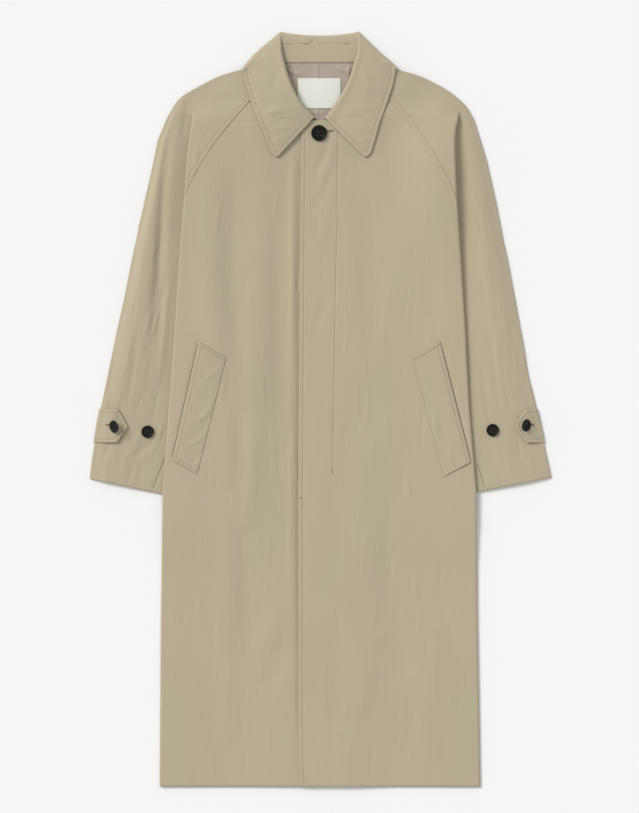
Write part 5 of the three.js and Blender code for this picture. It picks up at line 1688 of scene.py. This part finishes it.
def button(name, node, diameter, place, normal, material):
    """A turned button: its two dishes, the walls of its holes, and its rim.
    Gives the way it is turned and the middles of its holes."""
    radius, thickness = diameter / 2, BUTTON_THICKNESS * diameter
    offset = HOLE_OFFSET * radius / math.sqrt(2)
    centres = [(offset, offset), (-offset, offset), (-offset, -offset), (offset, -offset)]
    lip = (HOLE_RADIUS + HOLE_LIP) * radius
    loops = [circle(0, 0, DISH_RADIUS * radius, BUTTON_SEGMENTS)]
    loops += [circle(x, y, lip, HOLE_SEGMENTS) for x, y in centres]
    triangles = dish_triangles(loops)
    flat = np.concatenate(loops)
    count = len(flat)
    top = np.column_stack([flat, np.full(count, DISH_LEVEL * thickness)])
    bottom = np.column_stack([flat, np.zeros(count)])
    points = [top, bottom]
    faces = list(triangles)
    faces += [[index + count for index in reversed(triangle)] for triangle in triangles]
    total = 2 * count

    def bridge(first, second):
        after_first, after_second = np.roll(first, -1), np.roll(second, -1)
        faces.extend(np.stack([first, second, after_second, after_first], axis=1).tolist())

    ring = np.arange(BUTTON_SEGMENTS)
    for share, level in BUTTON_PROFILE:
        rim = circle(0, 0, share * radius, BUTTON_SEGMENTS)
        points.append(np.column_stack([rim, np.full(BUTTON_SEGMENTS, level * thickness)]))
        new_ring = total + np.arange(BUTTON_SEGMENTS)
        bridge(ring, new_ring)
        ring = new_ring
        total += BUTTON_SEGMENTS
    bridge(ring, count + np.arange(BUTTON_SEGMENTS))
    for number, (x, y) in enumerate(centres):
        first = BUTTON_SEGMENTS + number * HOLE_SEGMENTS
        ring = first + np.arange(HOLE_SEGMENTS)
        for share, level in ((HOLE_RADIUS, DISH_LEVEL - 0.06), (HOLE_RADIUS, 0.06)):
            wall = circle(x, y, share * radius, HOLE_SEGMENTS)
            points.append(np.column_stack([wall, np.full(HOLE_SEGMENTS, level * thickness)]))
            new_ring = total + np.arange(HOLE_SEGMENTS)
            bridge(new_ring, ring)
            ring = new_ring
            total += HOLE_SEGMENTS
        bridge(count + first + np.arange(HOLE_SEGMENTS), ring)
    turn = Vector((0, 0, 1)).rotation_difference(normal).to_matrix()
    points = np.concatenate(points) @ np.array(turn).T + np.array(place)
    piece = link_mesh(name, points, faces, points)
    piece.data.materials.append(material)
    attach(piece, "root")
    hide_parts(node)
    return np.array(turn), [np.array([x, y]) for x, y in centres]


def settle(trees, x, y, normal, diameter, clearance=0.0004):
    """Where a button's underside comes to rest, so that none of it dips into the cloth."""
    turn = np.array(Vector((0, 0, 1)).rotation_difference(normal).to_matrix())
    level = -1.0
    for share in (0.0, 0.4, 0.8):
        rim = circle(0, 0, share * diameter / 2, 16)
        under = np.column_stack([rim, np.zeros(16)]) @ turn.T
        for spot in under:
            level = max(level, surface_at(trees, x + spot[0], y + spot[1])[0] - spot[2])
    return np.array([x, y, level + clearance])


def resin_material():
    material, start, surface = new_material("button_resin")
    cut = start.add("ShaderNodeAttribute", {"attribute_name": "cut"}, output=1)
    cloud = cut.noise(160.0, detail=3.0)
    connect(surface, "Base Color", start.mixed(cloud, BUTTON_BLACK, BUTTON_GREY))
    connect(surface, "Roughness", cloud * 0.12 + 0.3)
    surface.inputs["Specular IOR Level"].default_value = 0.16
    return material


def tilted(side):
    """Direction that the button of a tab faces: outwards, and turned a little."""
    across = math.sin(TAB_TILT)
    outwards = side.sign * across * math.cos(TAB_TURN)
    return Vector((outwards, -across * math.sin(TAB_TURN), math.cos(TAB_TILT)))


resin = resin_material()
neck_normal = Vector((0.02, -0.05, 1)).normalized()
tab_trees = {side: [surface_tree(tabs[side])] for side in SIDES}
# Where each button lies, what it lies on and how it is tilted
BUTTONS = {
    "button_neck": (NECK_BUTTON, (-0.0022, 0.4419), neck_normal, front_trees[RIGHT]),
    "button_tab_right": (CUFF_BUTTON, (-0.3285, -0.0272), tilted(LEFT), tab_trees[LEFT]),
    "button_tab_left": (CUFF_BUTTON, (0.3274, -0.0252), tilted(RIGHT), tab_trees[RIGHT]),
    "button_cuff_right": (CUFF_BUTTON, (-0.2766, -0.0357), Vector((0.03, 0.02, 1)), sleeve_trees[LEFT]),
    "button_cuff_left": (CUFF_BUTTON, (0.2755, -0.0331), Vector((-0.03, 0.02, 1)), sleeve_trees[RIGHT]),
}
buttons = {}
for node, (diameter, (x, y), normal, trees) in BUTTONS.items():
    place = settle(trees, x, y, normal, diameter)
    turn, centres = button(f"{node}_resin", node, diameter, place, normal, resin)
    buttons[node] = (place, diameter, trees, turn, centres)

# Sewing. Every seam line that shows is topstitched with single stitches of thread, much deeper in tone than
# the cloth: partly the thread's own tone, partly painted shade of its needle holes and puckers. Buttonholes
# and bar tacks are worked in the same thread, closely side by side.
THREAD_RADIUS = 0.00030
STITCH_PITCH = 0.0034
STITCH_LENGTH = 0.0026
CLOSE_PITCH = 0.00062
THREAD_SIDES = 6
# Along each stitch: share of its half length, share of the thread's radius, its height in radii
STITCH_SHAPE = [(-1.0, 0.35, -1.3), (-0.72, 0.9, 0.1), (0.0, 1.0, 0.5), (0.72, 0.9, 0.1), (1.0, 0.35, -1.3)]
# Both thread tones are darkened past the thread's own colour as painted shade of needle holes and puckers.
THREAD_SHADED_DEEP = (0.200, 0.168, 0.106, 1)
THREAD_SHADED_LIGHT = (0.290, 0.245, 0.160, 1)
THREAD_BLACK = (0.0100, 0.0100, 0.0090, 1)


def along_way(way, pitch):
    """Evenly spaced spots on a way, and its direction at each of them."""
    way = np.asarray(way, float)
    steps = np.linalg.norm(np.diff(way, axis=0), axis=1)
    chord = np.concatenate([[0], np.cumsum(steps)])
    count = max(1, int(chord[-1] / pitch))
    goal = (np.arange(count) + 0.5) * chord[-1] / count
    spots = np.stack([np.interp(goal, chord, way[:, axis]) for axis in range(2)], axis=1)
    index = np.clip(np.searchsorted(chord, goal) - 1, 0, len(steps) - 1)
    return spots, np.diff(way, axis=0)[index] / steps[index][:, None]


def stitched(way, trees, pitch=STITCH_PITCH, length=STITCH_LENGTH, crosswise=False, radius=THREAD_RADIUS):
    """Single stitches along a way on a surface: their centres, directions, ups and sizes."""
    spots, directions = along_way(way, pitch)
    found = []
    for (x, y), (run_x, run_y) in zip(spots, directions):
        z, up = surface_at(trees, x, y)
        run = Vector((-run_y, run_x, 0)) if crosswise else Vector((run_x, run_y, 0))
        run = (run - up * run.dot(up)).normalized()
        found.append((np.array((x, y, z)), np.array(run), np.array(up), length, radius))
    return found


def thread_mesh(name, stitches, material):
    """One mesh of many stitches, each a short bent thread whose ends go into the cloth."""
    angle = np.arange(THREAD_SIDES) * 2 * np.pi / THREAD_SIDES
    points, faces, cut = [], [], []
    for number, (centre, run, up, length, radius) in enumerate(stitches):
        side = np.cross(up, run)
        base = len(points)
        for along, share, height in STITCH_SHAPE:
            middle = centre + run * along * length / 2 + up * height * radius
            for turn in angle:
                out = side * math.cos(turn) + up * math.sin(turn)
                points.append(middle + out * radius * share)
                cut.append((along * length / 2, turn * 0.001, number * 0.01))
        for ring in range(len(STITCH_SHAPE) - 1):
            for corner in range(THREAD_SIDES):
                after = (corner + 1) % THREAD_SIDES
                low = base + ring * THREAD_SIDES
                high = low + THREAD_SIDES
                faces.append([low + corner, high + corner, high + after, low + after])
        last = base + (len(STITCH_SHAPE) - 1) * THREAD_SIDES
        faces.append([base + corner for corner in range(THREAD_SIDES)])
        faces.append([last + corner for corner in reversed(range(THREAD_SIDES))])
    piece = link_mesh(name, np.array(points), faces, np.array(cut))
    piece.data.materials.append(material)
    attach(piece, "root")
    return piece


def thread_material(name, light, deep):
    material, start, surface = new_material(name)
    cut = start.add("ShaderNodeAttribute", {"attribute_name": "cut"}, output=1)
    connect(surface, "Base Color", start.mixed(cut.noise(900.0), light, deep))
    surface.inputs["Roughness"].default_value = 0.6
    return material


# The cotton thread's colour is partly its own tone and partly painted shade of needle holes and puckers.
thread = thread_material("cotton_thread_with_shade", THREAD_SHADED_LIGHT, THREAD_SHADED_DEEP)
black_thread = thread_material("button_thread", BUTTON_GREY, THREAD_BLACK)
label_thread = thread_material("label_thread", LABEL_WHITE, LABEL_GREY)
leaf_trees = [surface_tree(leaf)]
for side in SIDES:
    raglan_line = stitched(raglan_stitch[side], sleeve_trees[side])
    thread_mesh(f"raglan_stitches_{side.wearer}", raglan_line, thread)
    thread_mesh(f"leaf_stitches_{side.wearer}", stitched(leaf_stitch[side], leaf_trees), thread)
    welt_trees = [surface_tree(welts[side])]
    welt_line = [stitch for line in welt_stitches[side] for stitch in stitched(line, welt_trees)]
    thread_mesh(f"welt_stitches_{side.wearer}", welt_line, thread)
    tab_line = stitched(tab_stitch[side], tab_trees[side], 0.0030, 0.0023)
    thread_mesh(f"tab_stitches_{side.wearer}", tab_line, thread)
fly_line = stitched(placket_stitch, front_trees[RIGHT]) + stitched(fly_stitch, front_trees[RIGHT])
thread_mesh("fly_stitches", fly_line, thread)

stitch_left, stitch_right = LABEL_LEFT + LABEL_STITCH_INSET, LABEL_RIGHT - LABEL_STITCH_INSET
stitch_top, stitch_bottom = LABEL_TOP - LABEL_STITCH_INSET, LABEL_BOTTOM + LABEL_STITCH_INSET
label_stitch = [
    (stitch_left, stitch_top),
    (stitch_right, stitch_top),
    (stitch_right, stitch_bottom),
    (stitch_left, stitch_bottom),
    (stitch_left, stitch_top),
]
label_line = stitched(label_stitch, [surface_tree(label)], 0.0024, 0.0018, radius=0.00018)
thread_mesh("label_stitches", label_line, label_thread)

# Bar tacks: at the foot of the fly's line and where the edge's stitching starts afresh
BAR_TACKS = [
    [(0.0192, -0.0960), (0.0192, -0.1035)],
    [(-0.0345, -0.1416), (-0.0290, -0.1416)],
]
tacks = []
for way in BAR_TACKS:
    tacks += stitched(way, front_trees[RIGHT], CLOSE_PITCH, 0.0017, True)
thread_mesh("bar_tacks", tacks, thread)

# Buttonholes: start, end and the surface they are cut in. Each one starts under its button.
BUTTONHOLES = [
    ((0.0000, 0.4440), (0.0206, 0.4456), front_trees[RIGHT]),
    ((-0.3275, -0.0248), (-0.3432, -0.0244), tab_trees[LEFT]),
    ((0.3262, -0.0246), (0.3420, -0.0244), tab_trees[RIGHT]),
]
HOLE_EDGE = 0.0009
WORKED_RADIUS = 0.00032
worked, slit_shades = [], []
for start_spot, end_spot, trees in BUTTONHOLES:
    start_spot, end_spot = np.array(start_spot), np.array(end_spot)
    run = (end_spot - start_spot) / np.linalg.norm(end_spot - start_spot)
    sideways = np.array([-run[1], run[0]]) * HOLE_EDGE
    for way in ((start_spot + sideways, end_spot + sideways), (start_spot - sideways, end_spot - sideways)):
        worked += stitched(way, trees, CLOSE_PITCH, 0.0015, True, WORKED_RADIUS)
    end_bar = (end_spot - sideways * 1.5, end_spot + sideways * 1.5)
    worked += stitched(end_bar, trees, CLOSE_PITCH, 0.0014, True, WORKED_RADIUS)
    # Painted shade: a dark tube down each slit stands for the shade in the cut.
    slit_shades += stitched((start_spot, end_spot), trees, 0.0030, 0.0052, False, 0.00034)
thread_mesh("buttonhole_edges", worked, thread)
thread_mesh("buttonhole_slit_shade", slit_shades, painted_shade)

# Button thread: two crossed strands over the dish, down through the holes, and a stem to the cloth
STRAND_RADIUS = 0.00034
STEM_STRANDS = 5
STEM_HALF = 0.0006
strands = []
for place, diameter, trees, turn, centres in buttons.values():
    up = turn @ np.array([0.0, 0.0, 1.0])
    dish = place + up * (DISH_LEVEL * BUTTON_THICKNESS * diameter)
    for first, second in ((0, 2), (1, 3)):
        run = centres[second] - centres[first]
        reach = np.linalg.norm(run)
        run = turn @ np.array([*run / reach, 0.0])
        middle = dish + up * STRAND_RADIUS * (0.4 + 0.8 * first)
        strands.append((middle, run, up, reach * 1.12, STRAND_RADIUS))
    ground = surface_at(trees, place[0], place[1])[0]
    stem_length = place[2] - ground + 0.0012
    for number in range(STEM_STRANDS):
        angle = number * 2 * math.pi / STEM_STRANDS
        out = np.array([math.cos(angle), math.sin(angle), 0.0])
        middle = place + out * STEM_HALF - np.array([0.0, 0.0, stem_length / 2 - 0.0004])
        strands.append((middle, np.array([0.0, 0.0, -1.0]), out, stem_length, STRAND_RADIUS * 1.4))
thread_mesh("button_strands", strands, black_thread)

# Floor, light and camera. A plain pale floor, soft light from the upper left with an even fill, and
# the camera straight above the coat, far enough away to flatten it as in the photograph.
FLOOR_WHITE = (0.893, 0.893, 0.893, 1)
FLOOR_HALF = 4.0
FLOOR_LEVEL = -0.0002
FILL_STRENGTH = 0.62
KEY_STRENGTH = 2.0
KEY_SPREAD = math.radians(24)
KEY_FROM = (-1.0, 0.75, 1.05)
VIEW_HEIGHT = 1.3008
LENS = 110.0
SENSOR = 36.0
VIEW_CENTRE = (-0.0016, 0.0048)


def floor_plane():
    corners = [(-1, -1), (1, -1), (1, 1), (-1, 1)]
    points = np.array([(x * FLOOR_HALF, y * FLOOR_HALF, FLOOR_LEVEL) for x, y in corners])
    plane = link_mesh("floor", points, [(0, 1, 2, 3)])
    material, _, surface = new_material("floor_white")
    surface.inputs["Base Color"].default_value = FLOOR_WHITE
    surface.inputs["Roughness"].default_value = 0.9
    surface.inputs["Specular IOR Level"].default_value = 0.1
    plane.data.materials.append(material)


floor_plane()
scene = bpy.context.scene
scene.view_settings.view_transform = "Standard"
world = bpy.data.worlds.new("studio")
world.use_nodes = True
world.node_tree.nodes["Background"].inputs["Color"].default_value = (1, 1, 1, 1)
world.node_tree.nodes["Background"].inputs["Strength"].default_value = FILL_STRENGTH
scene.world = world
key_light = bpy.data.lights.new("soft_key", "SUN")
key_light.energy = KEY_STRENGTH
key_light.angle = KEY_SPREAD
key = bpy.data.objects.new("soft_key", key_light)
key.rotation_euler = Vector(KEY_FROM).to_track_quat("Z", "Y").to_euler()
scene.collection.objects.link(key)
camera_data = bpy.data.cameras.new("camera")
camera_data.lens = LENS
camera_data.sensor_width = SENSOR
camera_data.clip_end = 20
camera = bpy.data.objects.new("camera", camera_data)
camera.location = (*VIEW_CENTRE, VIEW_HEIGHT * LENS / SENSOR + 0.008)
scene.collection.objects.link(camera)
scene.camera = camera
